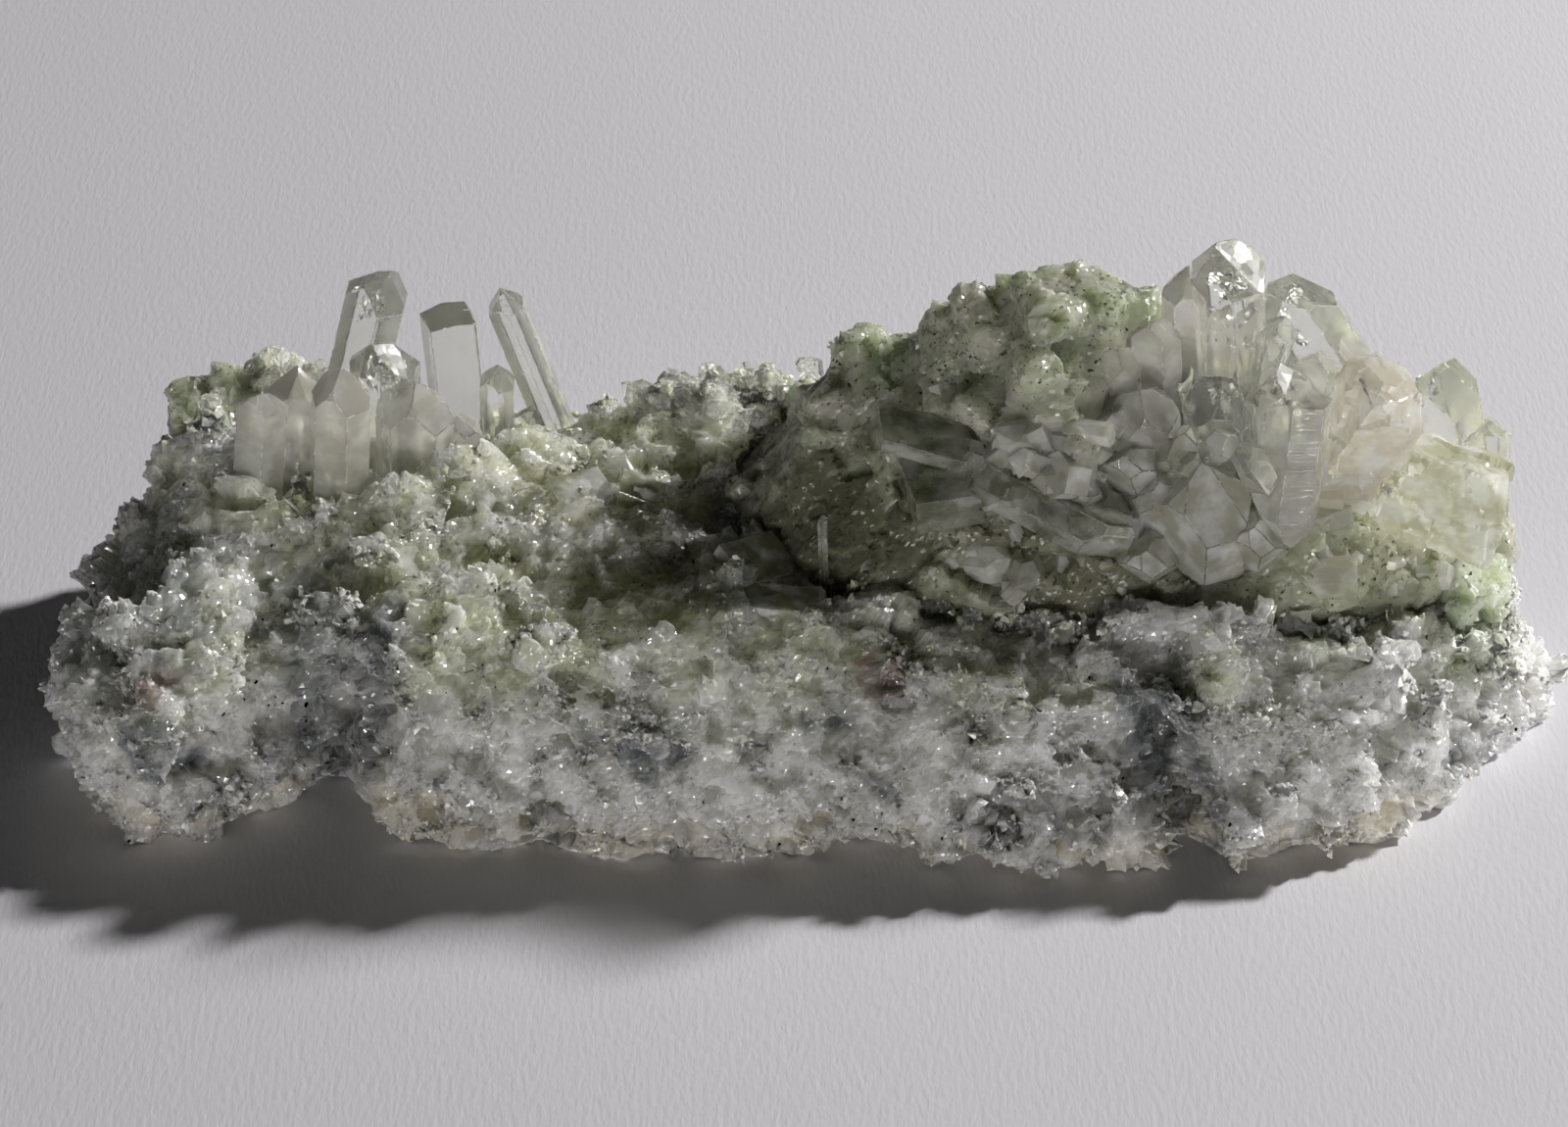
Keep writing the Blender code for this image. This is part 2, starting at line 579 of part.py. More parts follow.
def make_mound(collection, pockets):
    """The mound, and the set of cutters that makes its seat in the slab."""
    cubes = [*CREST_CUBES, *strewn_cubes()]
    mound = new_object("fluorite_mound", mound_skin(), collection)
    combine(mound, cutter_set("mound_cubes", cubes, 0.0), "UNION")
    for pocket in pockets:
        combine(mound, pocket, "DIFFERENCE")
    finish_material(mound, *FLUORITE)
    seat = cutter_set("mound_seat", cubes, GAP)
    swollen = mound_skin()
    swell(swollen, 1.2 * GAP)
    new_cutter("mound_seat_skin", swollen, seat)
    return seat


def make_matrix(collection, pockets):
    skin = loft(SLAB, slab_section, SLAB_STEPS)
    roughen(skin, 0.0, LUMP_HEIGHT, GRAIN_HEIGHT)
    slab = new_object("matrix_rock", skin, collection)
    combine(slab, cutter_set("slab_pits", PITS, 0.0), "DIFFERENCE")
    combine(slab, cutter_set("slab_grains", strewn_grains(), 0.0), "UNION")
    for pocket in pockets:
        combine(slab, pocket, "DIFFERENCE")
    finish_material(slab, *ROCK)


def stand_on_origin(collection):
    """Moves every piece so that the box they fill stands on the origin."""
    corners = [v.co for obj in collection.objects for v in obj.data.vertices]
    low = Vector([min(c[i] for c in corners) for i in range(3)])
    high = Vector([max(c[i] for c in corners) for i in range(3)])
    foot = Vector(((low.x + high.x) / 2, (low.y + high.y) / 2, low.z))
    for obj in collection.objects:
        obj.data.transform(Matrix.Translation(-foot))
    collection["tables_zero_in_metres"] = -foot


def main():
    for obj in list(bpy.data.objects):
        bpy.data.objects.remove(obj, do_unlink=True)
    scene = bpy.context.scene
    specimen = bpy.data.collections.new(SPECIMEN)
    cutters = bpy.data.collections.new("cutters")
    scene.collection.children.link(specimen)
    scene.collection.children.link(cutters)
    pockets = make_crystals(specimen)
    seat = make_mound(specimen, pockets)
    make_matrix(specimen, [seat, *pockets])
    for obj in specimen.objects:
        finish_mesh(obj)
    stand_on_origin(specimen)


main()
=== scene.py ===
"""Looks of the fluorite with quartz and calcite.

The slab of sugary calcite rock is rebuilt from its solid as broken facets under
a crust of loose grains, the green mound likewise under a druse of small pale
crystals, and the clear crystals become quartz with growth lines, bevelled edges
and inner cracks. Lengths in the tables are millimetres; MM turns them to metres.
"""
import json
import math
import random
from collections import namedtuple

import bpy
from mathutils import Euler, Matrix, Vector, noise

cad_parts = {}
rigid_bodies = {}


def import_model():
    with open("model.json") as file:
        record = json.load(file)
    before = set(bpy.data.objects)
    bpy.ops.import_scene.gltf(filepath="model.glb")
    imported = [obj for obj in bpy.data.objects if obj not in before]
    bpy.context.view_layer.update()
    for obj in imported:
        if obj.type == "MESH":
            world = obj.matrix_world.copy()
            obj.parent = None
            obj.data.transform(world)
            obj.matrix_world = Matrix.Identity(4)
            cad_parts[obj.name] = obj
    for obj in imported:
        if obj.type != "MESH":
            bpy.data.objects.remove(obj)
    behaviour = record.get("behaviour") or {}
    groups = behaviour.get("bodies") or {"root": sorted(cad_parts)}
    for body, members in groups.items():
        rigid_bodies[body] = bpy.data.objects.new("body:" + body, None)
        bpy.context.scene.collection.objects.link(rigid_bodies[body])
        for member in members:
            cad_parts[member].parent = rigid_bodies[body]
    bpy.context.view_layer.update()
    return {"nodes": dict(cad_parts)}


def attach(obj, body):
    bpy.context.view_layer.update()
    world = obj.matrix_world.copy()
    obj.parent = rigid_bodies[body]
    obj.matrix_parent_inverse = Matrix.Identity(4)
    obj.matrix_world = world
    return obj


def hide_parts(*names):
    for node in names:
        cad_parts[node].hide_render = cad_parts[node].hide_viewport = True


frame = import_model()

MM = 0.001
TABLE_ZERO = Vector((-1.321, 1.079, 0.0))   # the tables' zero in the row frame
POINT_SLANT = math.radians(51.8)            # quartz: a tip face's normal from the axis
CLEAVE_SKEW = math.radians(15.0)            # calcite: a cleavage rhomb is off square

# Meshes
ROCK_VOXEL = 0.335         # spacing of the rock's skin
MOUND_VOXEL = 0.30
MOUND_FOOT = 0.9           # how far the mound's foot swells into the rock
WELD = 0.004
EDGE_BEVEL = 0.07          # worn edges of the clear crystals


# Grooves down the broken front, carved and darkened with painted shade: x at the foot and at the top, top height,
# width, depth
Groove = namedtuple("Groove", "foot_x top_x top_z width depth")
GROOVES = (Groove(-30.6, -27.6, 13.0, 1.9, 3.0), Groove(24.9, 21.4, 10.5, 1.9, 3.2))

# Colours
GREY_ROCK = (0.93, 0.92, 0.88, 1)
GREEN_ROCK = (0.68, 0.70, 0.50, 1)
# Dark grey, also used as painted shade in the grooves and at the edge of the mound's shadow
DARK_ROCK_AND_SHADE = (0.15, 0.165, 0.18, 1)
BEIGE_ROCK = (0.80, 0.73, 0.56, 1)
# Pale rock, also used as painted light on the ledge below the mound and on the right front
PALE_ROCK_AND_LIGHT = (0.94, 0.94, 0.91, 1)
SHADED_ROCK = (0.38, 0.40, 0.38, 1)
LEAF_ROCK = (0.72, 0.79, 0.57, 1)
# Painted light, warm, for the deck where the mound's shadow falls
WARM_PAINTED_LIGHT = (0.82, 0.80, 0.64, 1)
# Olive of the rock, darkened to paint the shade at the mound's foot
OLIVE_ROCK_AND_SHADE = (0.52, 0.50, 0.38, 1)
RUST = (0.24, 0.16, 0.13, 1)
DIRT = (0.07, 0.05, 0.035, 1)
# Painted shade for the hollows between grains
HOLLOW_SHADE = (0.16, 0.16, 0.14, 1)

# Stains, painted shade and painted light on the rock: centre and reach in mm, colour, strength
Patch = namedtuple("Patch", "centre reach colour strength")
ROCK_STAINS_SHADE_AND_LIGHT = (
    # Painted shade on the left lobe and in the left groove
    Patch((-42.0, -2.0, 12.0), (8.0, 9.0, 5.0), SHADED_ROCK, 0.9),
    Patch((-30.4, -7.0, 8.0), (2.2, 3.6, 6.0), DARK_ROCK_AND_SHADE, 0.9),
    Patch((-31.0, -4.0, 12.0), (4.0, 5.0, 4.0), SHADED_ROCK, 0.7),
    Patch((-20.0, 2.0, 15.0), (4.0, 3.0, 2.4), DARK_ROCK_AND_SHADE, 0.3),
    # Painted shade at the left end of the deck
    Patch((-36.0, 9.0, 16.0), (5.0, 4.0, 3.0), SHADED_ROCK, 0.7),
    # Painted shadow at the edge of the mound's shadow; olive, partly painted shade, at its foot
    Patch((-3.5, -5.3, 15.0), (2.0, 2.0, 2.0), DARK_ROCK_AND_SHADE, 0.7),
    Patch((3.0, -3.0, 14.5), (7.0, 3.6, 3.0), OLIVE_ROCK_AND_SHADE, 0.8),
    Patch((4.7, -9.0, 11.0), (2.2, 2.0, 1.6), RUST, 0.9),
    Patch((-39.9, -10.0, 11.0), (1.8, 1.6, 1.2), RUST, 0.8),
    Patch((-25.0, -13.0, 3.2), (3.4, 3.0, 2.6), BEIGE_ROCK, 0.9),
    Patch((36.6, -13.0, 2.8), (2.4, 2.4, 1.8), BEIGE_ROCK, 0.9),
    # Painted light on the ledge below the mound
    Patch((13.9, -7.0, 12.5), (4.4, 2.4, 2.4), PALE_ROCK_AND_LIGHT, 0.9),
    Patch((16.0, -11.8, 9.0), (3.4, 2.2, 2.2), PALE_ROCK_AND_LIGHT, 0.9),
    Patch((14.4, -15.0, 4.8), (6.0, 3.0, 2.6), DARK_ROCK_AND_SHADE, 0.5),
    Patch((42.7, -8.0, 4.2), (3.6, 3.0, 2.6), DARK_ROCK_AND_SHADE, 0.8),
    # Painted light on the right front and along the ledge below the mound and crystals
    Patch((34.0, -7.6, 11.6), (8.0, 3.6, 3.6), PALE_ROCK_AND_LIGHT, 1.0),
    Patch((22.0, -6.6, 13.0), (8.0, 2.6, 2.4), GREY_ROCK, 0.8),
    Patch((12.0, -6.4, 13.4), (7.0, 2.4, 2.2), GREEN_ROCK, 0.8),
    # Painted light on the deck where the mound's shadow falls
    Patch((-12.0, 1.0, 15.6), (9.0, 6.0, 3.0), WARM_PAINTED_LIGHT, 0.6),
    Patch((32.0, -7.0, 12.6), (4.0, 2.4, 2.4), LEAF_ROCK, 0.6),
    Patch((43.0, -5.0, 11.0), (3.6, 4.4, 4.0), LEAF_ROCK, 0.9),
    Patch((-7.0, -10.5, 11.5), (8.0, 2.6, 2.4), PALE_ROCK_AND_LIGHT, 0.4),
    Patch((38.0, -10.0, 9.0), (5.0, 3.0, 3.0), PALE_ROCK_AND_LIGHT, 0.4),
)
# The same on the mound: grey and green tones, and painted shade, nearly black on its left foot and dark olive along the
# front of its foot
MOUND_TONES_AND_SHADE = (
    # Painted shade on the mound's left foot
    Patch((1.5, -1.5, 17.0), (8.0, 5.5, 7.0), (0.13, 0.13, 0.08, 1), 0.9),
    Patch((17.0, -2.0, 22.5), (8.0, 4.0, 5.0), (0.46, 0.455, 0.38, 1), 0.8),
    # Painted shade, dark olive, along the front of the mound's foot
    Patch((16.0, -4.5, 16.5), (12.0, 3.6, 4.0), (0.17, 0.17, 0.11, 1), 0.9),
    Patch((34.0, -3.5, 15.0), (8.0, 3.6, 4.0), (0.42, 0.43, 0.32, 1), 0.8),
)

# A quartz crystal from root to tip: flat squashes it along one side, turn spins
# it on its axis, and each bite lowers one of the six tip faces. Where shine is
# given, a face that throws the sun at the viewer is cut that far below the tip.
Crystal = namedtuple("Crystal", "root tip width flat turn bites shine", defaults=(None,))
SHARP = (0.0, 0.0, 0.3, 0.0, 0.2, 0.1)
CHISEL = (0.0, 1.6, 1.2, 0.0, 1.4, 1.0)
SLANT = (1.6, 2.2, 0.6, 0.0, 0.4, 1.2)
BLUNT = (1.6, 0.8, 1.8, 1.2, 2.0, 1.4)
PEAK = (0.0, 0.6, 0.2, 0.0, 1.0, 0.4)
SHOULDER = (0.6, 2.4, 1.2, 0.0, 0.8, 2.0)

# Each group: piece name, finish, the solid it stands for, and its crystals
CLUSTERS = (
    ("quartz_tall_left", "clear", None, (
        Crystal((-29.4, 9.8, 12.4), (-24.8, 8.6, 30.2), 3.8, 0.80, 12, CHISEL),
    )),
    ("quartz_low_left", "grey", "quartz_cluster_left", (
        Crystal((-28.8, 4.2, 12.0), (-27.6, 5.0, 25.6), 3.5, 0.92, 28, BLUNT),
        Crystal((-21.4, 8.2, 12.6), (-21.2, 7.8, 19.8), 3.4, 0.85, 33, SLANT),
        Crystal((-26.6, 3.8, 12.2), (-26.0, 3.4, 18.2), 2.8, 0.90, 10, BLUNT),
        Crystal((-23.8, 6.4, 12.6), (-23.2, 6.0, 23.6), 4.2, 0.80, 40, BLUNT),
    )),
    ("quartz_glinting_left", "clear", None, (
        Crystal((-25.8, 7.8, 12.4), (-25.2, 7.4, 26.0), 4.2, 0.85, 5, SLANT, 1.6),
    )),
    ("quartz_peak_right", "clear", None, (
        Crystal((28.8, 2.0, 19.0), (26.4, 1.6, 36.8), 4.4, 0.85, 8, PEAK, 1.5),
        Crystal((36.6, 1.6, 22.0), (28.6, 2.2, 34.6), 5.0, 0.62, 24, SHOULDER),
    )),
    ("quartz_bright_right", "clear", None, (
        Crystal((30.6, -0.4, 20.0), (29.8, -2.2, 30.6), 3.8, 0.80, 55, CHISEL, 1.8),
        Crystal((27.6, 1.0, 17.0), (26.6, -1.4, 29.4), 4.2, 0.90, 35, BLUNT),
        Crystal((29.4, 2.6, 24.0), (30.2, -0.4, 32.6), 2.2, 0.85, 36, CHISEL),
        Crystal((24.4, -0.6, 20.0), (24.8, -4.8, 24.4), 1.8, 0.90, 12, CHISEL, 0.5),
        Crystal((28.0, 0.0, 23.0), (29.6, -6.0, 22.4), 2.2, 0.90, 20, SHARP, 0.6),
    )),
    ("quartz_low_right", "grey", "quartz_cluster_right", (
        Crystal((31.4, -1.6, 26.6), (30.6, -4.6, 15.6), 3.9, 0.85, 10, SLANT),
        Crystal((25.6, 3.6, 22.0), (24.6, 3.0, 33.2), 3.0, 0.90, 42, SHARP),
        Crystal((23.4, 2.8, 22.0), (22.4, 1.6, 31.8), 3.0, 0.85, 20, SLANT),
        Crystal((23.2, 1.4, 18.0), (21.6, -1.4, 28.2), 3.8, 0.85, 48, BLUNT),
        Crystal((32.8, 4.6, 20.0), (33.6, 4.4, 29.0), 3.6, 0.85, 30, SLANT),
        Crystal((26.4, -1.0, 22.0), (27.4, -4.6, 26.0), 2.0, 0.90, 30, BLUNT),
        Crystal((27.6, 3.6, 24.0), (28.4, 3.4, 33.0), 2.6, 0.85, 18, SLANT),
        Crystal((21.4, 2.6, 22.0), (20.4, 0.4, 30.0), 2.4, 0.85, 50, BLUNT),
    )),
    ("quartz_smoky_right", "smoky", None, (
        Crystal((26.0, -1.6, 14.2), (25.4, -3.8, 24.6), 6.4, 0.72, 3, BLUNT),
        Crystal((22.4, 0.0, 18.0), (20.4, -3.0, 24.8), 3.4, 0.85, 8, SLANT),
        Crystal((23.4, -1.0, 17.0), (22.6, -4.2, 22.4), 3.0, 0.85, 36, CHISEL),
        Crystal((25.0, 0.6, 18.0), (24.0, -2.4, 25.2), 3.4, 0.90, 12, CHISEL),
        Crystal((20.6, 1.6, 20.0), (19.4, -2.0, 26.6), 2.6, 0.80, 15, SLANT),
        Crystal((19.4, -0.6, 17.0), (17.6, -4.4, 22.6), 2.4, 0.85, 22, SLANT),
        Crystal((17.4, -0.4, 18.0), (15.8, -4.6, 22.8), 2.2, 0.85, 48, SHARP),
        Crystal((13.8, 2.2, 21.0), (13.4, -2.0, 25.8), 3.6, 0.85, 10, SLANT),
        Crystal((17.2, 2.6, 21.0), (16.8, -1.8, 26.8), 4.4, 0.80, 35, BLUNT),
        Crystal((20.6, 2.6, 20.0), (20.2, -1.9, 26.2), 4.2, 0.85, 20, CHISEL),
        Crystal((13.6, 0.0, 18.0), (13.0, -4.6, 22.8), 3.8, 0.85, 48, SLANT),
        Crystal((11.6, 1.0, 19.0), (10.8, -3.4, 23.8), 2.8, 0.85, 26, CHISEL),
        Crystal((19.8, -1.0, 16.0), (19.4, -5.0, 20.8), 3.8, 0.85, 28, CHISEL),
        Crystal((22.6, -1.8, 14.0), (22.2, -5.4, 19.0), 4.2, 0.85, 12, SLANT),
        Crystal((29.0, -1.6, 14.0), (28.8, -4.8, 20.6), 4.2, 0.80, 16, SLANT),
    )),
    ("quartz_spire", "dusky", "quartz_needle", (
        Crystal((2.6, -4.3, 12.0), (2.35, -3.2, 18.8), 0.60, 0.9, 10, SHARP),
        Crystal((2.2, -4.4, 12.0), (2.10, -3.6, 16.8), 0.62, 0.9, 40, SLANT),
        Crystal((2.9, -4.5, 12.0), (2.80, -3.8, 15.7), 0.56, 0.9, 25, CHISEL),
    )),
)

# The crystals that keep their solid's shape, with their finish and material slot
CRYSTALS = (
    ("quartz_pair_left", "grey", "quartz"), ("quartz_prism_flat_top", "clear", "quartz"),
    ("quartz_prism_leaning", "clear", "quartz"), ("quartz_points_small", "clear", "quartz"),
    ("quartz_prism_end", "clear", "quartz"),
    ("calcite_blade", "dusky", "calcite"), ("calcite_block_left", "dusky", "calcite"),
    ("calcite_plate", "dusky", "calcite"),
)

# Camera and sun
CAMERA_TARGET = Vector((0.0, 0.0, 12.0)) + TABLE_ZERO
CAMERA_DISTANCE = 240.0
CAMERA_ELEVATION = math.radians(40.0)
LENS = 86.4
SENSOR = 36.0
VIEWER = Vector((0, -math.cos(CAMERA_ELEVATION), math.sin(CAMERA_ELEVATION)))
KEY_TOWARDS = Vector((0.81, 0.32, 0.50)).normalized()
KEY_DISTANCE = 900.0


def glint_face(place):
    """The way a face at that place in mm looks when it throws the key light at the camera."""
    to_camera = CAMERA_TARGET + VIEWER * CAMERA_DISTANCE - place
    to_key = KEY_TOWARDS * KEY_DISTANCE - place
    return (to_camera.normalized() + to_key.normalized()).normalized()


# Small helpers

def only(obj):
    """Leaves just this object selected, and active."""
    bpy.ops.object.select_all(action="DESELECT")
    obj.select_set(True)
    bpy.context.view_layer.objects.active = obj


def editing(obj):
    only(obj)
    bpy.ops.object.mode_set(mode="EDIT")
    bpy.ops.mesh.select_all(action="SELECT")


def done_editing():
    bpy.ops.object.mode_set(mode="OBJECT")


def apply_modifiers(obj):
    only(obj)
    for modifier in list(obj.modifiers):
        bpy.ops.object.modifier_apply(modifier=modifier.name)


def copy_of(node_name, name):
    """A welded copy of a CAD node's mesh, with its flat faces whole."""
    source = frame["nodes"][node_name]
    obj = bpy.data.objects.new(name, source.data.copy())
    bpy.context.scene.collection.objects.link(obj)
    obj.data.materials.clear()
    editing(obj)
    bpy.ops.mesh.remove_doubles(threshold=WELD * MM)
    bpy.ops.mesh.dissolve_limited(angle_limit=math.radians(0.3))
    done_editing()
    return obj


def remesh(obj, voxel):
    tool = obj.modifiers.new("skin", "REMESH")
    tool.mode = "VOXEL"
    tool.voxel_size = voxel * MM
    apply_modifiers(obj)


def soften(obj, rounds):
    tool = obj.modifiers.new("soft", "SMOOTH")
    tool.iterations = rounds
    apply_modifiers(obj)


def cut_solid(name, planes, centre, reach):
    """A cube bisected by planes, each a point and an outward normal, all in mm."""
    bpy.ops.object.select_all(action="DESELECT")
    bpy.ops.mesh.primitive_cube_add(size=2 * reach * MM, location=Vector(centre) * MM)
    obj = bpy.context.object
    obj.name = name
    bpy.ops.object.transform_apply(location=True, rotation=True, scale=True)
    editing(obj)
    for point, normal in planes:
        bpy.ops.mesh.select_all(action="SELECT")
        bpy.ops.mesh.bisect(plane_co=Vector(point) * MM, plane_no=normal, use_fill=True,
                            clear_outer=True, threshold=1e-8)
    bpy.ops.mesh.select_all(action="SELECT")
    bpy.ops.mesh.normals_make_consistent(inside=False)
    done_editing()
    return obj


def prism(name, crystal, zero=TABLE_ZERO):
    """A six-sided crystal from root to tip, with a faceted point."""
    root, tip = Vector(crystal.root) + zero, Vector(crystal.tip) + zero
    axis = (tip - root).normalized()
    across = axis.orthogonal().normalized()
    planes = [(root, -axis)]
    for k, bite in enumerate(crystal.bites):
        out = Matrix.Rotation(math.radians(crystal.turn + 60 * k), 3, axis) @ across
        reach = 0.5 * crystal.width * (crystal.flat if k % 3 == 0 else 1.0)
        planes.append((root + out * reach, out))
        slant = axis * math.cos(POINT_SLANT) + out * math.sin(POINT_SLANT)
        planes.append((tip - axis * bite, slant))
    if crystal.shine is not None:
        planes.append((tip - axis * crystal.shine, glint_face(tip)))
    obj = cut_solid(name, planes, root.lerp(tip, 0.5), (tip - root).length + crystal.width)
    if crystal.shine is not None:
        etch(obj, glint_face(tip))
    return obj


def etch(obj, way):
    """Marks the faces that look that way, which are etched and so not quite smooth."""
    layer = obj.data.attributes.new("etched", "FLOAT", "FACE")
    for face, item in zip(obj.data.polygons, layer.data):
        item.value = 1.0 if face.normal.dot(way) > 0.999 else 0.0


def gathered(name, parts):
    """Joins objects to one."""
    only(parts[0])
    for part in parts:
        part.select_set(True)
    bpy.ops.object.join()
    parts[0].name = name
    return parts[0]


def wear_edges(obj, finish, worn):
    """Bevels the edges. They get a finish of their own."""
    obj.data.materials.clear()
    for coat in (finish, worn):
        obj.data.materials.append(coat)
    edge = obj.modifiers.new("worn_edges", "BEVEL")
    edge.material = 1
    edge.width = EDGE_BEVEL * MM
    edge.segments = 2
    edge.limit_method = "ANGLE"
    edge.angle_limit = math.radians(20)
    edge.use_clamp_overlap = True
    apply_modifiers(obj)


def rhomb(name, size, skew, corners):
    """A cleavage block at the origin with the named corners cut off."""
    lean = math.tan(CLEAVE_SKEW) * skew
    normals = (Vector((1, lean, 0)), Vector((0, 1, lean)), Vector((lean, 0, 1)))
    planes = []
    for normal, side in zip(normals, size):
        out = normal.normalized()
        planes.append((out * 0.5 * side, out))
        planes.append((out * -0.5 * side, -out))
    for corner, depth in corners:
        out = Vector([c * s for c, s in zip(corner, size)]).normalized()
        planes.append((out * (0.5 * Vector(size).length * depth), out))
    return cut_solid(name, planes, (0, 0, 0), 2 * max(size))


# Node wiring

def node(tree, kind, inputs=None, **settings):
    """Adds a node. A socket given as an input is linked, and anything else is set."""
    made = tree.nodes.new(kind)
    for name, value in settings.items():
        setattr(made, name, value)
    for key, value in (inputs or {}).items():
        if isinstance(value, bpy.types.NodeSocket):
            tree.links.new(value, made.inputs[key])
        else:
            made.inputs[key].default_value = value
    return made


def maths(tree, operation, *values):
    return node(tree, "ShaderNodeMath", dict(enumerate(values)), operation=operation).outputs[0]


def vectors(tree, operation, a, b=None, scale=None):
    inputs = {0: a}
    if b is not None:
        inputs[1] = b
    if scale is not None:
        inputs["Scale"] = scale
    made = node(tree, "ShaderNodeVectorMath", inputs, operation=operation)
    return made.outputs["Value" if operation in ("DOT_PRODUCT", "LENGTH") else "Vector"]


def fade(tree, value, low, high):
    """0 below low, 1 above high and smooth between."""
    inputs = {"Value": value, "From Min": low, "From Max": high}
    return node(tree, "ShaderNodeMapRange", inputs, interpolation_type="SMOOTHSTEP").outputs[0]


def mixed(tree, factor, a, b):
    made = node(tree, "ShaderNodeMix", {0: factor, 6: a, 7: b}, data_type="RGBA")
    return made.outputs[2]


def clouds(tree, place, scale, detail=3.0, roughness=0.55):
    inputs = {"Vector": place, "Scale": scale, "Detail": detail, "Roughness": roughness}
    return node(tree, "ShaderNodeTexNoise", inputs).outputs["Fac"]


# Geometry Nodes

def geometry_tree(name):
    tree = bpy.data.node_groups.new(name, "GeometryNodeTree")
    for way in ("INPUT", "OUTPUT"):
        tree.interface.new_socket(name="Geometry", in_out=way, socket_type="NodeSocketGeometry")
    return tree, node(tree, "NodeGroupInput").outputs[0]


def run_tree(obj, tree, geometry):
    """Closes a geometry tree on its result, runs it on the object and applies it."""
    node(tree, "NodeGroupOutput", {0: geometry})
    obj.modifiers.new(tree.name, "NODES").node_group = tree
    apply_modifiers(obj)


def break_into_facets(obj, cell, slope, step, foot=0.8, calm=0.0):
    """Moves the skin so that each cell of that size is one tilted, broken face.

    The foot stays put, and the faces above 14 mm are calmer by that share.
    """
    tree, geometry = geometry_tree(f"{obj.name}_facets_{cell}")
    place = vectors(tree, "SCALE", node(tree, "GeometryNodeInputPosition").outputs[0], scale=1 / MM)
    wobble = node(tree, "ShaderNodeTexNoise", {"Vector": place, "Scale": 1.4 / cell}).outputs["Color"]
    wobble = vectors(tree, "SCALE", vectors(tree, "SUBTRACT", wobble, (0.5, 0.5, 0.5)), scale=0.7 * cell)
    bent = vectors(tree, "ADD", place, wobble)
    cells = node(tree, "ShaderNodeTexVoronoi", {"Vector": bent, "Scale": 1 / cell})
    tilt = vectors(tree, "SUBTRACT", cells.outputs["Color"], (0.5, 0.5, 0.5))
    away = vectors(tree, "SUBTRACT", bent, cells.outputs["Position"])
    height = maths(tree, "MULTIPLY", vectors(tree, "DOT_PRODUCT", tilt, away), 2 * slope)
    random_height = node(tree, "ShaderNodeTexWhiteNoise", {"Vector": cells.outputs["Position"]})
    raised = maths(tree, "MULTIPLY_ADD", random_height.outputs["Value"], step, height)
    raised = maths(tree, "SUBTRACT", raised, 0.75 * step)
    level = node(tree, "ShaderNodeSeparateXYZ", {0: place}).outputs["Z"]
    free = fade(tree, level, 0.1, foot)
    calmer = maths(tree, "MULTIPLY_ADD", fade(tree, level, 11.0, 14.0), -calm, 1.0)
    free = maths(tree, "MULTIPLY", free, calmer)
    amount = maths(tree, "MULTIPLY", maths(tree, "MULTIPLY", raised, free), MM)
    normal = node(tree, "GeometryNodeInputNormal").outputs[0]
    offset = vectors(tree, "SCALE", normal, scale=amount)
    moved = node(tree, "GeometryNodeSetPosition", {"Geometry": geometry, "Offset": offset})
    run_tree(obj, tree, moved.outputs[0])


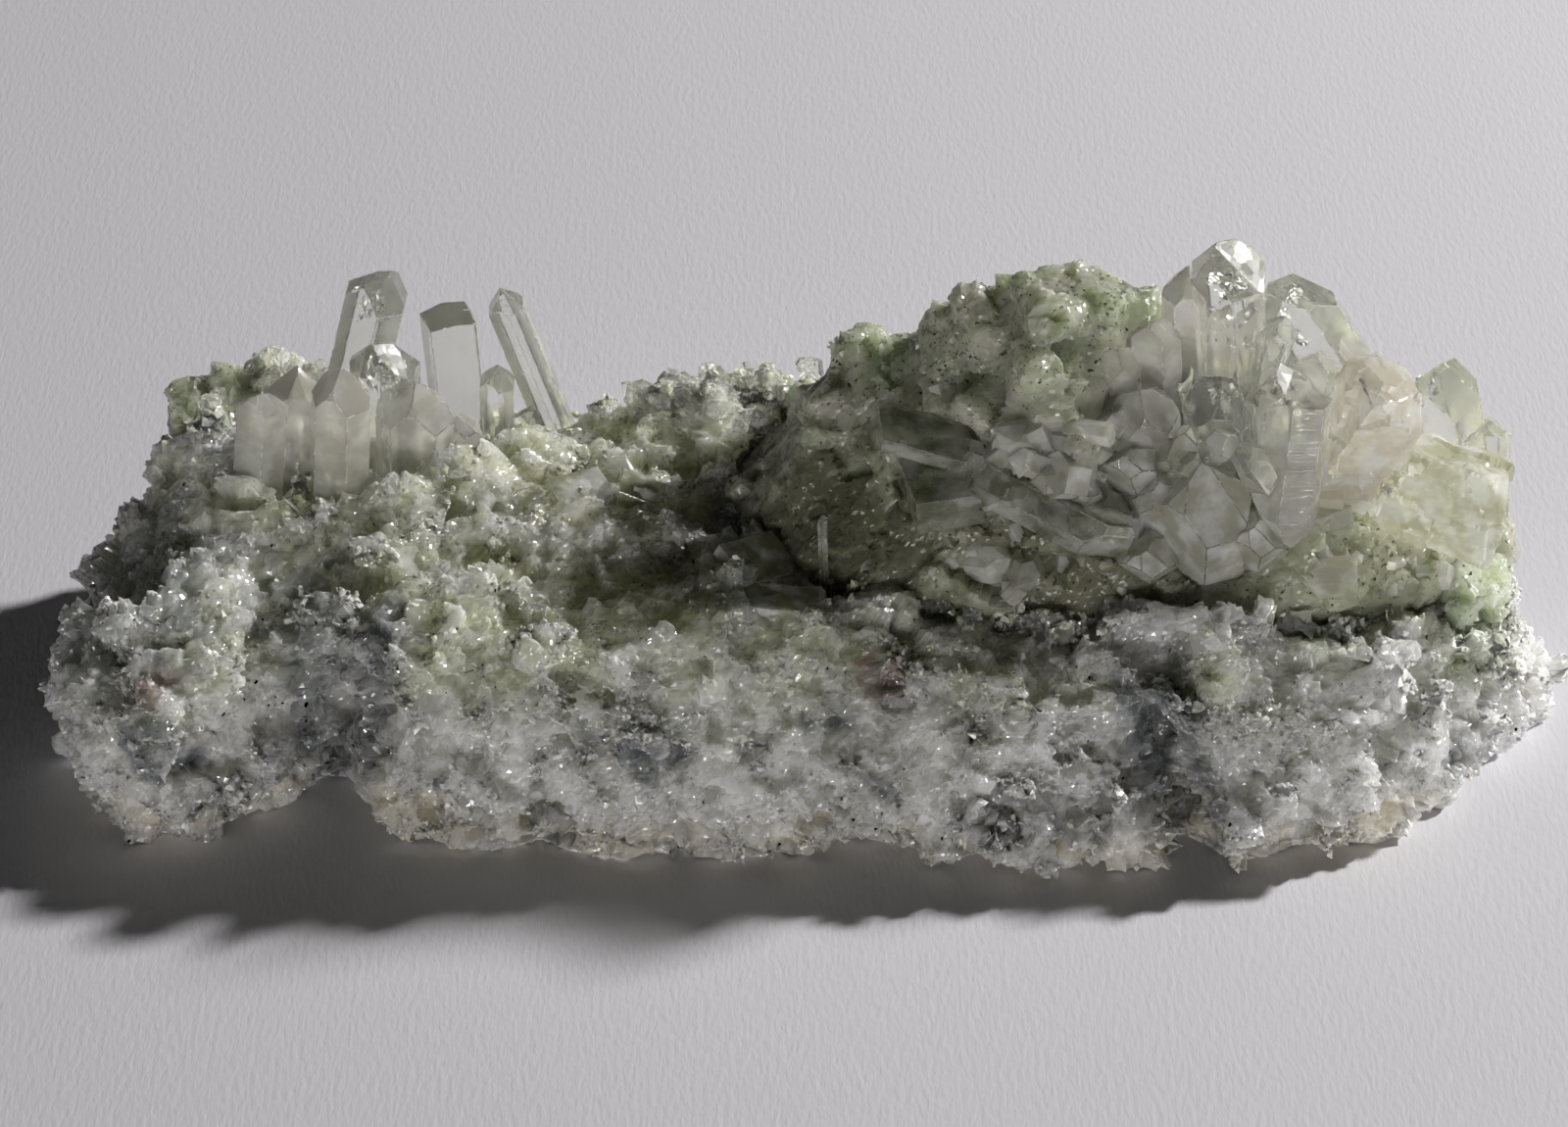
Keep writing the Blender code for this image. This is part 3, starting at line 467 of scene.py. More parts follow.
def scatter(name, skin, shapes, mask, count_per_mm2, sizes, seed, lean, sink=0.0, aimed=0.0):
    """A piece made of shapes strewn over a skin, thicker where the mask attribute is high.

    They lean up to that angle from straight out of the skin, or for the aimed share
    from the way of a glint, and are sunk into it by that share of their size.
    """
    piece = bpy.data.objects.new(name, skin.data.copy())
    bpy.context.scene.collection.objects.link(piece)
    tree, geometry = geometry_tree(name)
    share = node(tree, "GeometryNodeInputNamedAttribute", {"Name": mask}, data_type="FLOAT")
    density = maths(tree, "MULTIPLY", share.outputs[0], count_per_mm2 / MM ** 2)
    points = node(tree, "GeometryNodeDistributePointsOnFaces",
                  {"Mesh": geometry, "Density": density, "Seed": seed})
    picked = node(tree, "GeometryNodeCollectionInfo",
                  {"Collection": shapes, "Separate Children": True, "Reset Children": True})
    turned = node(tree, "FunctionNodeRandomValue",
                  {0: (-lean, -lean, -math.pi), 1: (lean, lean, math.pi), "Seed": seed + 1},
                  data_type="FLOAT_VECTOR").outputs[0]
    turned = node(tree, "FunctionNodeEulerToRotation", {0: turned}).outputs[0]
    is_aimed = node(tree, "FunctionNodeRandomValue", {"Probability": aimed, "Seed": seed + 4},
                    data_type="BOOLEAN").outputs[3]
    glint = node(tree, "FunctionNodeAlignRotationToVector", {"Vector": glint_face(Vector())}, axis="Z").outputs[0]
    upright = node(tree, "GeometryNodeSwitch",
                   {0: is_aimed, 1: points.outputs["Rotation"], 2: glint}, input_type="ROTATION")
    turned = node(tree, "FunctionNodeRotateRotation", {0: upright.outputs[0], 1: turned},
                  rotation_space="LOCAL").outputs[0]
    chance = node(tree, "FunctionNodeRandomValue", {2: 0.0, 3: 1.0, "Seed": seed + 2},
                  data_type="FLOAT").outputs[1]
    small, large = sizes
    grown = maths(tree, "MULTIPLY_ADD", maths(tree, "POWER", chance, 2.2), large - small, small)
    size = maths(tree, "MULTIPLY", grown, MM)
    depth = vectors(tree, "SCALE", points.outputs["Normal"], scale=maths(tree, "MULTIPLY", size, -sink))
    sunk = node(tree, "GeometryNodeSetPosition", {"Geometry": points.outputs["Points"], "Offset": depth})
    copies = node(tree, "GeometryNodeInstanceOnPoints",
                  {"Points": sunk.outputs[0], "Instance": picked.outputs[0],
                   "Pick Instance": True, "Rotation": turned, "Scale": size})
    tone = node(tree, "FunctionNodeRandomValue", {2: 0.0, 3: 1.0, "Seed": seed + 3},
                data_type="FLOAT").outputs[1]
    toned = node(tree, "GeometryNodeStoreNamedAttribute",
                 {"Geometry": copies.outputs[0], "Name": "tone", "Value": tone},
                 data_type="FLOAT", domain="INSTANCE")
    whole = node(tree, "GeometryNodeRealizeInstances", {0: toned.outputs[0]})
    flat = node(tree, "GeometryNodeSetShadeSmooth", {0: whole.outputs[0], "Shade Smooth": False})
    run_tree(piece, tree, flat.outputs[0])
    return piece


def shape_set(name, makers):
    """Small shapes of about unit size, kept in a collection that isn't drawn."""
    shapes = bpy.data.collections.new(name)
    bpy.context.scene.collection.children.link(shapes)
    for obj in makers:
        for home in list(obj.users_collection):
            home.objects.unlink(obj)
        obj.data.transform(Matrix.Scale(1 / MM, 4))
        shapes.objects.link(obj)
    return shapes


def drop_shapes(shapes):
    for obj in list(shapes.objects):
        bpy.data.objects.remove(obj)
    bpy.data.collections.remove(shapes)


def paint_mask(obj, name, rule):
    """A float attribute on the points, worked out from each point's place in mm and normal."""
    layer = obj.data.attributes.new(name, "FLOAT", "POINT")
    for v, item in zip(obj.data.vertices, layer.data):
        item.value = rule(v.co / MM, v.normal)


def rise(value, low, high):
    return min(1.0, max(0.0, (value - low) / (high - low)))


# Colours of the rock and the fluorite, worked out once for each point of a mesh

def with_stains_and_painted_light(tree, place, patchy, colour, stains_shade_and_light):
    """The colour with ragged patches of other colours over it: stains, tones, painted shade and painted light."""
    ragged = maths(tree, "MULTIPLY", maths(tree, "SUBTRACT", patchy, 0.5), 2.2)
    for patch in stains_shade_and_light:
        away = vectors(tree, "SUBTRACT", place, patch.centre)
        away = vectors(tree, "DIVIDE", away, patch.reach)
        away = maths(tree, "ADD", vectors(tree, "LENGTH", away), ragged)
        share = maths(tree, "MULTIPLY", fade(tree, away, 1.25, 0.55), patch.strength)
        colour = mixed(tree, share, colour, patch.colour)
    return colour


def rock_hue(tree, place):
    """The rock is green above, grey below, beige on its rim and darker in patches low down, with painted shade in its
    grooves.
    """
    x, y, z = node(tree, "ShaderNodeSeparateXYZ", {0: place}).outputs
    wide = clouds(tree, place, 0.16)
    patchy = clouds(tree, place, 0.55, 4.0)
    green = fade(tree, maths(tree, "MULTIPLY_ADD", wide, 9.0, z), 11.0, 17.0)
    colour = mixed(tree, green, GREY_ROCK, GREEN_ROCK)
    low = fade(tree, z, 13.0, 8.0)
    dark = maths(tree, "MULTIPLY", fade(tree, wide, 0.52, 0.64), low)
    # Painted shade: the grooves are darkened as well as carved
    for groove in GROOVES:
        share = maths(tree, "MULTIPLY", z, (groove.top_x - groove.foot_x) / groove.top_z)
        across = maths(tree, "SUBTRACT", maths(tree, "SUBTRACT", x, share), groove.foot_x)
        across = maths(tree, "MULTIPLY_ADD", patchy, 2.4, maths(tree, "ABSOLUTE", across))
        inside = maths(tree, "MULTIPLY", fade(tree, across, groove.width + 3.4, groove.width + 0.8),
                       fade(tree, y, -4.0, -6.0))
        dark = maths(tree, "MAXIMUM", dark, inside)
    colour = mixed(tree, maths(tree, "MULTIPLY", dark, 0.95), colour, DARK_ROCK_AND_SHADE)
    rim = maths(tree, "MULTIPLY", fade(tree, z, 4.5, 1.5), fade(tree, y, -6.0, -9.0))
    rim = maths(tree, "MULTIPLY", rim, fade(tree, patchy, 0.36, 0.50))
    colour = mixed(tree, rim, colour, BEIGE_ROCK)
    # Stains, with patches of painted shade and painted light
    colour = with_stains_and_painted_light(tree, place, patchy, colour, ROCK_STAINS_SHADE_AND_LIGHT)
    # Darker glassy patches at random, in the grey that also serves as painted shade
    glassy = fade(tree, clouds(tree, place, 0.34, 3.0), 0.52, 0.40)
    colour = mixed(tree, maths(tree, "MULTIPLY", glassy, 0.45), colour, SHADED_ROCK)
    pale = fade(tree, patchy, 0.52, 0.66)
    colour = mixed(tree, maths(tree, "MULTIPLY", pale, 0.6), colour, PALE_ROCK_AND_LIGHT)
    return colour


def fluorite_hue(deep, pale, stains_shade_and_light):
    """Green with paler clouds, and patches of other colours, some of them painted shade."""
    def hue(tree, place):
        colour = mixed(tree, fade(tree, clouds(tree, place, 0.22), 0.42, 0.60), deep, pale)
        fine = fade(tree, clouds(tree, place, 1.6, 4.0), 0.50, 0.70)
        colour = mixed(tree, maths(tree, "MULTIPLY", fine, 0.3), colour, (0.78, 0.78, 0.68, 1))
        return with_stains_and_painted_light(tree, place, clouds(tree, place, 0.55, 4.0), colour, stains_shade_and_light)

    return hue


def paint_hue(obj, hue):
    """Stores each point's colour, which the finish reads."""
    tree, geometry = geometry_tree(f"{obj.name}_hue")
    place = vectors(tree, "SCALE", node(tree, "GeometryNodeInputPosition").outputs[0], scale=1 / MM)
    stored = node(tree, "GeometryNodeStoreNamedAttribute",
                  {"Geometry": geometry, "Name": "hue", "Value": hue(tree, place)},
                  data_type="FLOAT_COLOR", domain="POINT")
    run_tree(obj, tree, stored.outputs[0])


# Finishes

def shader_group(name, inputs, outputs):
    """A group with number inputs and their usual values, and its place in mm."""
    tree = bpy.data.node_groups.new(name, "ShaderNodeTree")
    for title, usual in inputs:
        socket = tree.interface.new_socket(name=title, in_out="INPUT", socket_type="NodeSocketFloat")
        socket.default_value = usual
    for title, kind in outputs:
        tree.interface.new_socket(name=title, in_out="OUTPUT", socket_type=kind)
    return tree, node(tree, "NodeGroupInput").outputs, place_in_mm(tree)


def place_in_mm(tree):
    place = node(tree, "ShaderNodeTexCoord").outputs["Object"]
    return vectors(tree, "SCALE", place, scale=1 / MM)


def close_group(tree, **results):
    node(tree, "NodeGroupOutput", results)
    return tree


def sparkle_group():
    """Tiny cleavage faces: a normal that leans another way in each cell."""
    tree, given, place = shader_group("sparkle", (("Lean", 0.8), ("Per mm", 3.2)),
                                      (("Normal", "NodeSocketVector"), ("Cell", "NodeSocketFloat")))
    cells = node(tree, "ShaderNodeTexVoronoi", {"Vector": place, "Scale": given["Per mm"]})
    lean = vectors(tree, "SUBTRACT", cells.outputs["Color"], (0.5, 0.5, 0.5))
    normal = node(tree, "ShaderNodeNewGeometry").outputs["Normal"]
    leaned = vectors(tree, "ADD", normal, vectors(tree, "SCALE", lean, scale=given["Lean"]))
    cell = node(tree, "ShaderNodeSeparateColor", {0: cells.outputs["Color"]}).outputs[0]
    return close_group(tree, Normal=vectors(tree, "NORMALIZE", leaned), Cell=cell)


def use_group(tree, group, **values):
    made = node(tree, "ShaderNodeGroup", node_tree=group)
    for name, value in values.items():
        made.inputs[name.replace("_", " ")].default_value = value
    return made


def material(name):
    made = bpy.data.materials.new(name)
    made.use_nodes = True
    tree = made.node_tree
    return made, tree, tree.nodes["Principled BSDF"]


def set_plain(shader, **values):
    for name, value in values.items():
        shader.inputs[name.replace("_", " ")].default_value = value


def shade_hollows(tree, colour, shade_share):
    """Painted shade: darker in the hollows between grains, where the skin's pointiness is low."""
    point = node(tree, "ShaderNodeNewGeometry").outputs["Pointiness"]
    hollow_shade = maths(tree, "MULTIPLY", fade(tree, point, 0.52, 0.44), shade_share)
    return mixed(tree, hollow_shade, colour, HOLLOW_SHADE)


def with_specks(tree, place, low):
    """The point's stored colour, painted shade and light included, with specks of dirt."""
    hue = node(tree, "ShaderNodeAttribute", attribute_name="hue").outputs["Color"]
    return mixed(tree, fade(tree, clouds(tree, place, 2.6, 2.0), low, low + 0.04), hue, DIRT)


def rock_finish(name, sparkle, loose):
    """Sugary calcite: patches of it glitter, and loose grains are whiter."""
    made, tree, shader = material(name)
    place = place_in_mm(tree)
    glint = use_group(tree, sparkle, Per_mm=4.0)
    glittering = fade(tree, clouds(tree, place, 0.42, 3.0), 0.44, 0.58)
    tree.links.new(maths(tree, "MULTIPLY_ADD", glittering, 1.7, 0.3), glint.inputs["Lean"])
    colour = with_specks(tree, place, 0.72)
    if loose:
        tone = node(tree, "ShaderNodeAttribute", attribute_name="tone").outputs["Fac"]
        whiter = maths(tree, "MULTIPLY", fade(tree, tone, 0.4, 1.0), 0.45)
        colour = mixed(tree, whiter, colour, (0.95, 0.95, 0.92, 1))
    else:
        colour = mixed(tree, maths(tree, "MULTIPLY", glittering, 0.35), colour, PALE_ROCK_AND_LIGHT)
        # Painted shade in the hollows between grains
        colour = shade_hollows(tree, colour, 0.3)
    tree.links.new(colour, shader.inputs["Base Color"])
    tree.links.new(glint.outputs["Normal"], shader.inputs["Normal"])
    rough = maths(tree, "MULTIPLY_ADD", glint.outputs["Cell"], 0.25, 0.06)
    tree.links.new(rough, shader.inputs["Roughness"])
    set_plain(shader, IOR=1.6, Subsurface_Weight=0.7 if loose else 0.8,
              Subsurface_Scale=0.0006 if loose else 0.010, Subsurface_Radius=(1.0, 1.0, 0.85))
    return made


def fluorite_finish(sparkle):
    """Translucent, with brown dirt."""
    made, tree, shader = material("green_fluorite")
    glint = use_group(tree, sparkle, Lean=0.5)
    tree.links.new(with_specks(tree, place_in_mm(tree), 0.66), shader.inputs["Base Color"])
    tree.links.new(glint.outputs["Normal"], shader.inputs["Normal"])
    set_plain(shader, Roughness=0.22, IOR=1.434, Subsurface_Weight=0.8, Subsurface_Scale=0.005,
              Subsurface_Radius=(0.9, 1.0, 0.75))
    return made


def clear_finish(name, sparkle, body, clarity, roughness, lean, shadow, haze):
    """See-through crystal with growth lines; shadow is how dark a shadow it throws."""
    made, tree, shader = material(name)
    place = place_in_mm(tree)
    cloudy = clouds(tree, place, 0.5, 4.0)
    colour = mixed(tree, fade(tree, cloudy, 0.35, 0.60), (0.98, 0.98, 0.96, 1), body)
    tree.links.new(colour, shader.inputs["Base Color"])
    etched = node(tree, "ShaderNodeAttribute", attribute_name="etched").outputs["Fac"]
    smooth = maths(tree, "MULTIPLY_ADD", cloudy, roughness, 0.01)
    tree.links.new(maths(tree, "MULTIPLY_ADD", etched, 0.36, smooth), shader.inputs["Roughness"])
    glint = use_group(tree, sparkle, Per_mm=1.4)
    tree.links.new(maths(tree, "MULTIPLY_ADD", etched, 0.35, lean), glint.inputs["Lean"])
    lines = clouds(tree, vectors(tree, "MULTIPLY", place, (0.6, 0.6, 5.0)), 1.0, 3.0)
    bump = node(tree, "ShaderNodeBump", {"Height": lines, "Distance": 0.04 * MM, "Strength": 0.6,
                                         "Normal": glint.outputs["Normal"]})
    tree.links.new(bump.outputs[0], shader.inputs["Normal"])
    set_plain(shader, IOR=1.544, Transmission_Weight=clarity, Subsurface_Weight=0.4,
              Subsurface_Scale=0.0012, Subsurface_Radius=(1.0, 1.0, 0.9))
    out = tree.nodes["Material Output"]
    tinted = node(tree, "ShaderNodeVolumeAbsorption", {"Color": (0.84, 0.86, 0.74, 1), "Density": haze})
    tree.links.new(tinted.outputs[0], out.inputs["Volume"])
    # Lamps shine through a crystal as through thin glass
    lamp_ray = node(tree, "ShaderNodeLightPath").outputs["Is Shadow Ray"]
    passing = node(tree, "ShaderNodeBsdfTransparent", {"Color": (1 - shadow, 1 - shadow, 1 - shadow, 1)})
    lit = node(tree, "ShaderNodeMixShader", {0: lamp_ray, 1: shader.outputs[0], 2: passing.outputs[0]})
    tree.links.new(lit.outputs[0], out.inputs["Surface"])
    return made


def worn_finish():
    """The frosted edges of a crystal."""
    made, tree, shader = material("frosted_edge")
    wear = fade(tree, clouds(tree, place_in_mm(tree), 0.9, 3.0), 0.40, 0.60)
    colour = mixed(tree, wear, (0.70, 0.70, 0.64, 1), (0.92, 0.92, 0.88, 1))
    tree.links.new(colour, shader.inputs["Base Color"])
    tree.links.new(maths(tree, "MULTIPLY_ADD", wear, 0.30, 0.05), shader.inputs["Roughness"])
    set_plain(shader, IOR=1.544, Transmission_Weight=0.85)
    return made


def crack_finish():
    """The silvery inside of a crack, which shows in ragged patches."""
    made, tree, shader = material("silvery_crack")
    place = place_in_mm(tree)
    streaks = clouds(tree, place, 1.6, 3.0)
    colour = mixed(tree, fade(tree, streaks, 0.35, 0.65), (0.50, 0.50, 0.48, 1), (0.90, 0.90, 0.88, 1))
    tree.links.new(colour, shader.inputs["Base Color"])
    tree.links.new(maths(tree, "MULTIPLY_ADD", streaks, 0.4, 0.12), shader.inputs["Roughness"])
    tree.links.new(fade(tree, clouds(tree, place, 1.1, 6.0, 0.7), 0.49, 0.53), shader.inputs["Alpha"])
    set_plain(shader, Metallic=1.0)
    return made


def put(obj, finish, slot, *nodes):
    """Gives a piece its finish and ties it to the specimen."""
    if finish:
        obj.data.materials.clear()
        obj.data.materials.append(finish)
    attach(obj, "root")
    if nodes:
        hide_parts(*nodes)


# Pieces

def shard(name, draw, faces, stretch):
    """A splinter with few faces: a solid cut by planes that look all ways."""
    planes = []
    for k in range(faces):
        height = 1 - 2 * (k + 0.5) / faces
        turn = 2.4 * k + draw.uniform(-0.5, 0.5)
        ring = math.sqrt(1 - height ** 2)
        out = Vector((ring * math.cos(turn), ring * math.sin(turn), height))
        point = out * draw.uniform(0.34, 0.5)
        planes.append((Vector((point.x * stretch, point.y, point.z)), out))
    return cut_solid(name, planes, (0, 0, 0), 1.2 * stretch)


def chip(name, draw, sides):
    """The end of an intergrown grain: a flat cleaved top with sloping sides."""
    lean = (draw.uniform(-0.25, 0.25), draw.uniform(-0.25, 0.25), 1.0)
    planes = [((0, 0, -0.3), Vector((0, 0, -1))), ((0, 0, 0.34), Vector(lean))]
    for k in range(sides):
        turn = math.tau * (k + draw.uniform(-0.25, 0.25)) / sides
        level = Vector((math.cos(turn), math.sin(turn), 0))
        planes.append((level * draw.uniform(0.32, 0.56), level + Vector((0, 0, draw.uniform(0.0, 0.7)))))
    return cut_solid(name, planes, (0, 0, 0), 1.2)


def grain_shapes():
    """Broken calcite: mostly the ends of intergrown grains, and some splinters."""
    draw = random.Random(4)
    chips = [chip(f"chip_{k}", draw, 4 + k % 2) for k in range(6)]
    splinters = [shard(f"splinter_{k}", draw, 7 + k % 2, 1.1 + 0.2 * k) for k in range(3)]
    return shape_set("grain_shapes", chips + splinters)


def druse_shapes():
    draw = random.Random(7)
    makers = []
    for i in range(5):
        bites = [draw.uniform(0.0, 0.35) for _ in range(6)]
        tip = (draw.uniform(-0.2, 0.2), draw.uniform(-0.2, 0.2), draw.uniform(0.7, 1.2))
        crystal = Crystal((0, 0, -0.8), tip, draw.uniform(0.7, 1.1), draw.uniform(0.7, 1.0),
                          draw.uniform(0, 60), bites)
        makers.append(prism(f"druse_{i}", crystal, Vector()))
    return shape_set("druse_shapes", makers)


# A knob on the front that is pressed back and stays bare
BARE_KNOB = Vector((11.4, -16.6, 4.6))
KNOB_PRESS = 1.8


def groove_share(groove, place):
    """How far a point on the broken front lies inside a groove, 0 to 1."""
    middle = groove.foot_x + (groove.top_x - groove.foot_x) * place.z / groove.top_z
    across = (place.x - middle) / groove.width
    return math.exp(-across ** 2) * rise(groove.top_z - place.z, 0.0, 3.0) * rise(-place.y, 4.0, 6.0)


def carve_grooves(rock):
    for v in rock.data.vertices:
        place = v.co / MM
        depth = sum(groove.depth * groove_share(groove, place) for groove in GROOVES)
        depth += KNOB_PRESS * math.exp(-((place - BARE_KNOB).length / 2.4) ** 2)
        v.co.y += depth * MM * rise(place.z, 0.3, 1.2)
    rock.data.update()


# Rock grown round the feet of the crystals and over the deck: centre and reach in mm
LUMPS = (
    ((-35.6, 3.7, 13.2), (3.0, 2.0, 2.9)), ((-30.2, 2.9, 13.6), (3.2, 2.0, 3.0)),
    ((-26.0, 3.2, 14.2), (3.4, 2.4, 3.6)), ((-22.0, 5.2, 14.8), (3.8, 2.6, 3.2)),
    ((-17.6, 8.4, 14.6), (3.4, 2.2, 2.2)), ((24.0, -6.2, 13.0), (6.0, 1.6, 1.8)),
    ((-13.0, 1.0, 12.8), (9.0, 6.5, 3.2)),
)


def lump(name, centre, reach):
    bpy.ops.object.select_all(action="DESELECT")
    bpy.ops.mesh.primitive_ico_sphere_add(subdivisions=3, radius=1.0)
    ball = bpy.context.object
    ball.name = name
    ball.data.transform(Matrix.Translation(Vector(centre) * MM) @ Matrix.Diagonal((*(Vector(reach) * MM), 1.0)))
    return ball


def make_rock(crust_finish):
    lumps = [lump(f"lump_{k}", *place) for k, place in enumerate(LUMPS)]
    rock = gathered("rock_body", [copy_of("matrix_rock", "rock_body"), *lumps])
    remesh(rock, ROCK_VOXEL)
    carve_grooves(rock)
    break_into_facets(rock, 5.0, 0.26, 0.5)
    break_into_facets(rock, 2.2, 0.42, 0.45, calm=0.35)
    break_into_facets(rock, 0.9, 0.36, 0.12, calm=0.35)

    def rubble(p):
        """Loose grains lie in patches, with cleaner faces between them."""
        return 0.03 + 0.97 * rise(noise.noise(p / 3.2) + 0.6 * noise.noise(p / 1.1), 0.0, 0.42)

    def share(rule):
        return lambda p, n: rule(p, n) * rubble(p) * rise((p - BARE_KNOB).length, 2.2, 3.6)

    above = share(lambda p, n: rise(p.z, 6.0, 9.0) * rise(n.z, 0.25, 0.5))
    front = share(lambda p, n: rise(p.z, 0.6, 1.6) * rise(-n.y, 0.0, 0.3) * rise(-n.z, -0.6, -0.3))
    behind = share(lambda p, n: rise(p.z, 0.6, 1.6) * rise(n.y, 0.0, 0.3) * rise(-n.z, -0.6, -0.3))
    shapes = grain_shapes()
    for name, rule, count, sizes, seed in (
            ("grains_front", front, 13.0, (0.12, 0.44), 3),
            ("grains_above", above, 6.5, (0.12, 0.42), 5),
            ("grains_behind", behind, 7.0, (0.18, 0.60), 8)):
        paint_mask(rock, name, rule)
        crust = scatter(name, rock, shapes, name, count, sizes, seed, lean=0.6, sink=0.26, aimed=0.5)
        paint_hue(crust, rock_hue)
        put(crust, crust_finish, "matrix")
    drop_shapes(shapes)
    paint_hue(rock, rock_hue)
    return rock


def make_back_row(rock, finish):
    """The rows of small clear crystals along the back edge."""
    def rim(p, n):
        rows = rise(p.x, -41.0, -39.5) * rise(-28.0 - p.x, 0.0, 1.5)
        rows = max(rows, rise(p.x, -13.0, -11.0) * rise(2.0 - p.x, 0.0, 2.0))
        return rows * rise(p.y, 9.0, 10.5) * rise(p.z, 13.0, 14.5) * rise(n.z, 0.0, 0.3)

    paint_mask(rock, "rim", rim)
    shapes = druse_shapes()
    row = scatter("quartz_back_row", rock, shapes, "rim", 1.8, (0.6, 1.6), 41, lean=0.8)
    drop_shapes(shapes)
    put(row, finish, "quartz")


def swell_foot(mound):
    """Presses the mound's foot into the rock that it grew on."""
    normals = [v.normal.copy() for v in mound.data.vertices]
    for v, normal in zip(mound.data.vertices, normals):
        v.co += normal * MOUND_FOOT * MM * rise(16.5 - v.co.z / MM, 0.0, 2.0)
    mound.data.update()


MOUND_HUE = fluorite_hue((0.35, 0.385, 0.275, 1), (0.415, 0.41, 0.335, 1), MOUND_TONES_AND_SHADE)
LEAF_HUE = fluorite_hue((0.50, 0.62, 0.40, 1), (0.64, 0.70, 0.54, 1), ())


def make_mound(finish, druse_finish):
    mound = copy_of("fluorite_mound", "fluorite_mound_body")
    remesh(mound, MOUND_VOXEL)
    swell_foot(mound)
    soften(mound, 14)
    break_into_facets(mound, 4.4, 0.20, 0.20)
    break_into_facets(mound, 1.2, 0.14, 0.06)

    def crusted(p, n):
        patches = rise(noise.noise(p / 3.4) + 0.6 * noise.noise(p / 0.9), 0.06, 0.4)
        return rise(p.z, 12.0, 14.0) * (0.05 + 0.95 * patches)

    def drusy(p, n):
        return rise(p.z, 14.0, 16.0) * rise(p.x, 6.0, 9.0) * rise(-n.y, -0.1, 0.2) * rise(25.5 - p.z, 0.0, 2.0)

    paint_mask(mound, "crusted", crusted)
    shapes = grain_shapes()
    crust = scatter("mound_crust", mound, shapes, "crusted", 5.0, (0.10, 0.30), 21, lean=0.5, sink=0.26,
                    aimed=0.4)
    drop_shapes(shapes)
    paint_hue(crust, MOUND_HUE)
    put(crust, finish, "fluorite")
    paint_mask(mound, "drusy", drusy)
    shapes = druse_shapes()
    druse = scatter("mound_druse", mound, shapes, "drusy", 0.40, (1.2, 2.8), 33, lean=0.8, sink=0.5)
    drop_shapes(shapes)
    put(druse, druse_finish, "calcite")
    paint_hue(mound, MOUND_HUE)
    put(mound, finish, "fluorite", "fluorite_mound")


def make_broken_block(node_name, finish, slot, large, small, hue=None):
    """A cleaved block, broken into large and small faces: their size, slope and step."""
    block = copy_of(node_name, f"{node_name}_look")
    remesh(block, 0.18)
    break_into_facets(block, *large)
    break_into_facets(block, *small)
    only(block)
    bpy.ops.object.shade_smooth_by_angle(angle=math.radians(24))
    if hue:
        paint_hue(block, hue)
    put(block, finish, slot, node_name)


def make_crystal(node_name, finish, worn, slot):
    """A crystal group from its solid, with its edges softly worn."""
    obj = copy_of(node_name, f"{node_name}_look")
    wear_edges(obj, finish, worn)
    put(obj, None, slot, node_name)


def make_cluster(name, finish, worn, node_name, crystals):
    parts = [prism(f"{name}_{k}", crystal) for k, crystal in enumerate(crystals)]
    for part in parts:
        wear_edges(part, finish, worn)
    nodes = [node_name] if node_name else []
    put(gathered(name, parts), None, "quartz", *nodes)


# Smooth cleavage blocks that show in the rock: centre and size in mm, and how they are turned
Embedded = namedtuple("Embedded", "centre size turn")
EMBEDDED = (
    Embedded((-14.2, 5.0, 13.9), (3.6, 3.2, 3.0), (14, -8, 20)),
    Embedded((-10.4, 4.2, 14.1), (3.4, 2.6, 3.2), (-6, 10, -12)),
    Embedded((-3.0, -1.8, 14.4), (4.2, 3.4, 1.8), (18, 6, 34)),
    Embedded((-1.4, -5.4, 13.9), (4.8, 2.2, 2.0), (4, -4, -6)),
    Embedded((-24.4, -1.2, 13.3), (4.2, 3.2, 2.2), (22, 8, 12)),
    Embedded((-19.0, 6.2, 14.2), (2.6, 2.6, 2.2), (10, 12, 44)),
)


def make_embedded(finish, worn):
    blocks = []
    for k, place in enumerate(EMBEDDED):
        block = rhomb(f"embedded_{k}", place.size, 0.5, (((1, -1, 1), 0.84),))
        turned = Euler([math.radians(a) for a in place.turn]).to_matrix().to_4x4()
        block.data.transform(Matrix.Translation(Vector(place.centre) * MM) @ turned)
        wear_edges(block, finish, worn)
        blocks.append(block)
    put(gathered("embedded_blocks", blocks), None, "calcite")


# Veils inside the clear crystals: centre and size in mm, and how they are turned
Crack = namedtuple("Crack", "centre size turn")
CRACKS = (
    Crack((26.9, 1.5, 33.0), (2.2, 1.2), (40, 20, 10)),
    Crack((27.2, 1.6, 31.2), (2.4, 1.6), (65, -15, 40)),
    Crack((27.6, 1.6, 28.8), (2.0, 1.2), (50, 30, -20)),
    Crack((30.8, 2.0, 31.0), (2.0, 1.0), (60, 10, 60)),
    Crack((31.8, 1.9, 29.2), (1.6, 1.4), (45, -20, 20)),
    Crack((-25.4, 7.5, 22.0), (1.6, 2.2), (75, 10, 25)),
    Crack((-25.3, 7.4, 23.8), (1.4, 1.2), (45, -20, 70)),
    Crack((-25.9, 8.9, 26.0), (1.2, 2.0), (80, 20, -30)),
    Crack((-32.2, 8.8, 18.4), (0.8, 3.6), (82, 10, 60)),
    Crack((38.4, 2.6, 24.0), (0.9, 2.8), (80, 0, 65)),
    Crack((39.6, 2.6, 24.2), (1.8, 1.2), (55, 20, 20)),
    Crack((26.9, -0.7, 26.2), (2.0, 1.2), (50, 10, 30)),
    Crack((30.1, -1.5, 26.6), (1.4, 2.2), (70, 25, 15)),
)


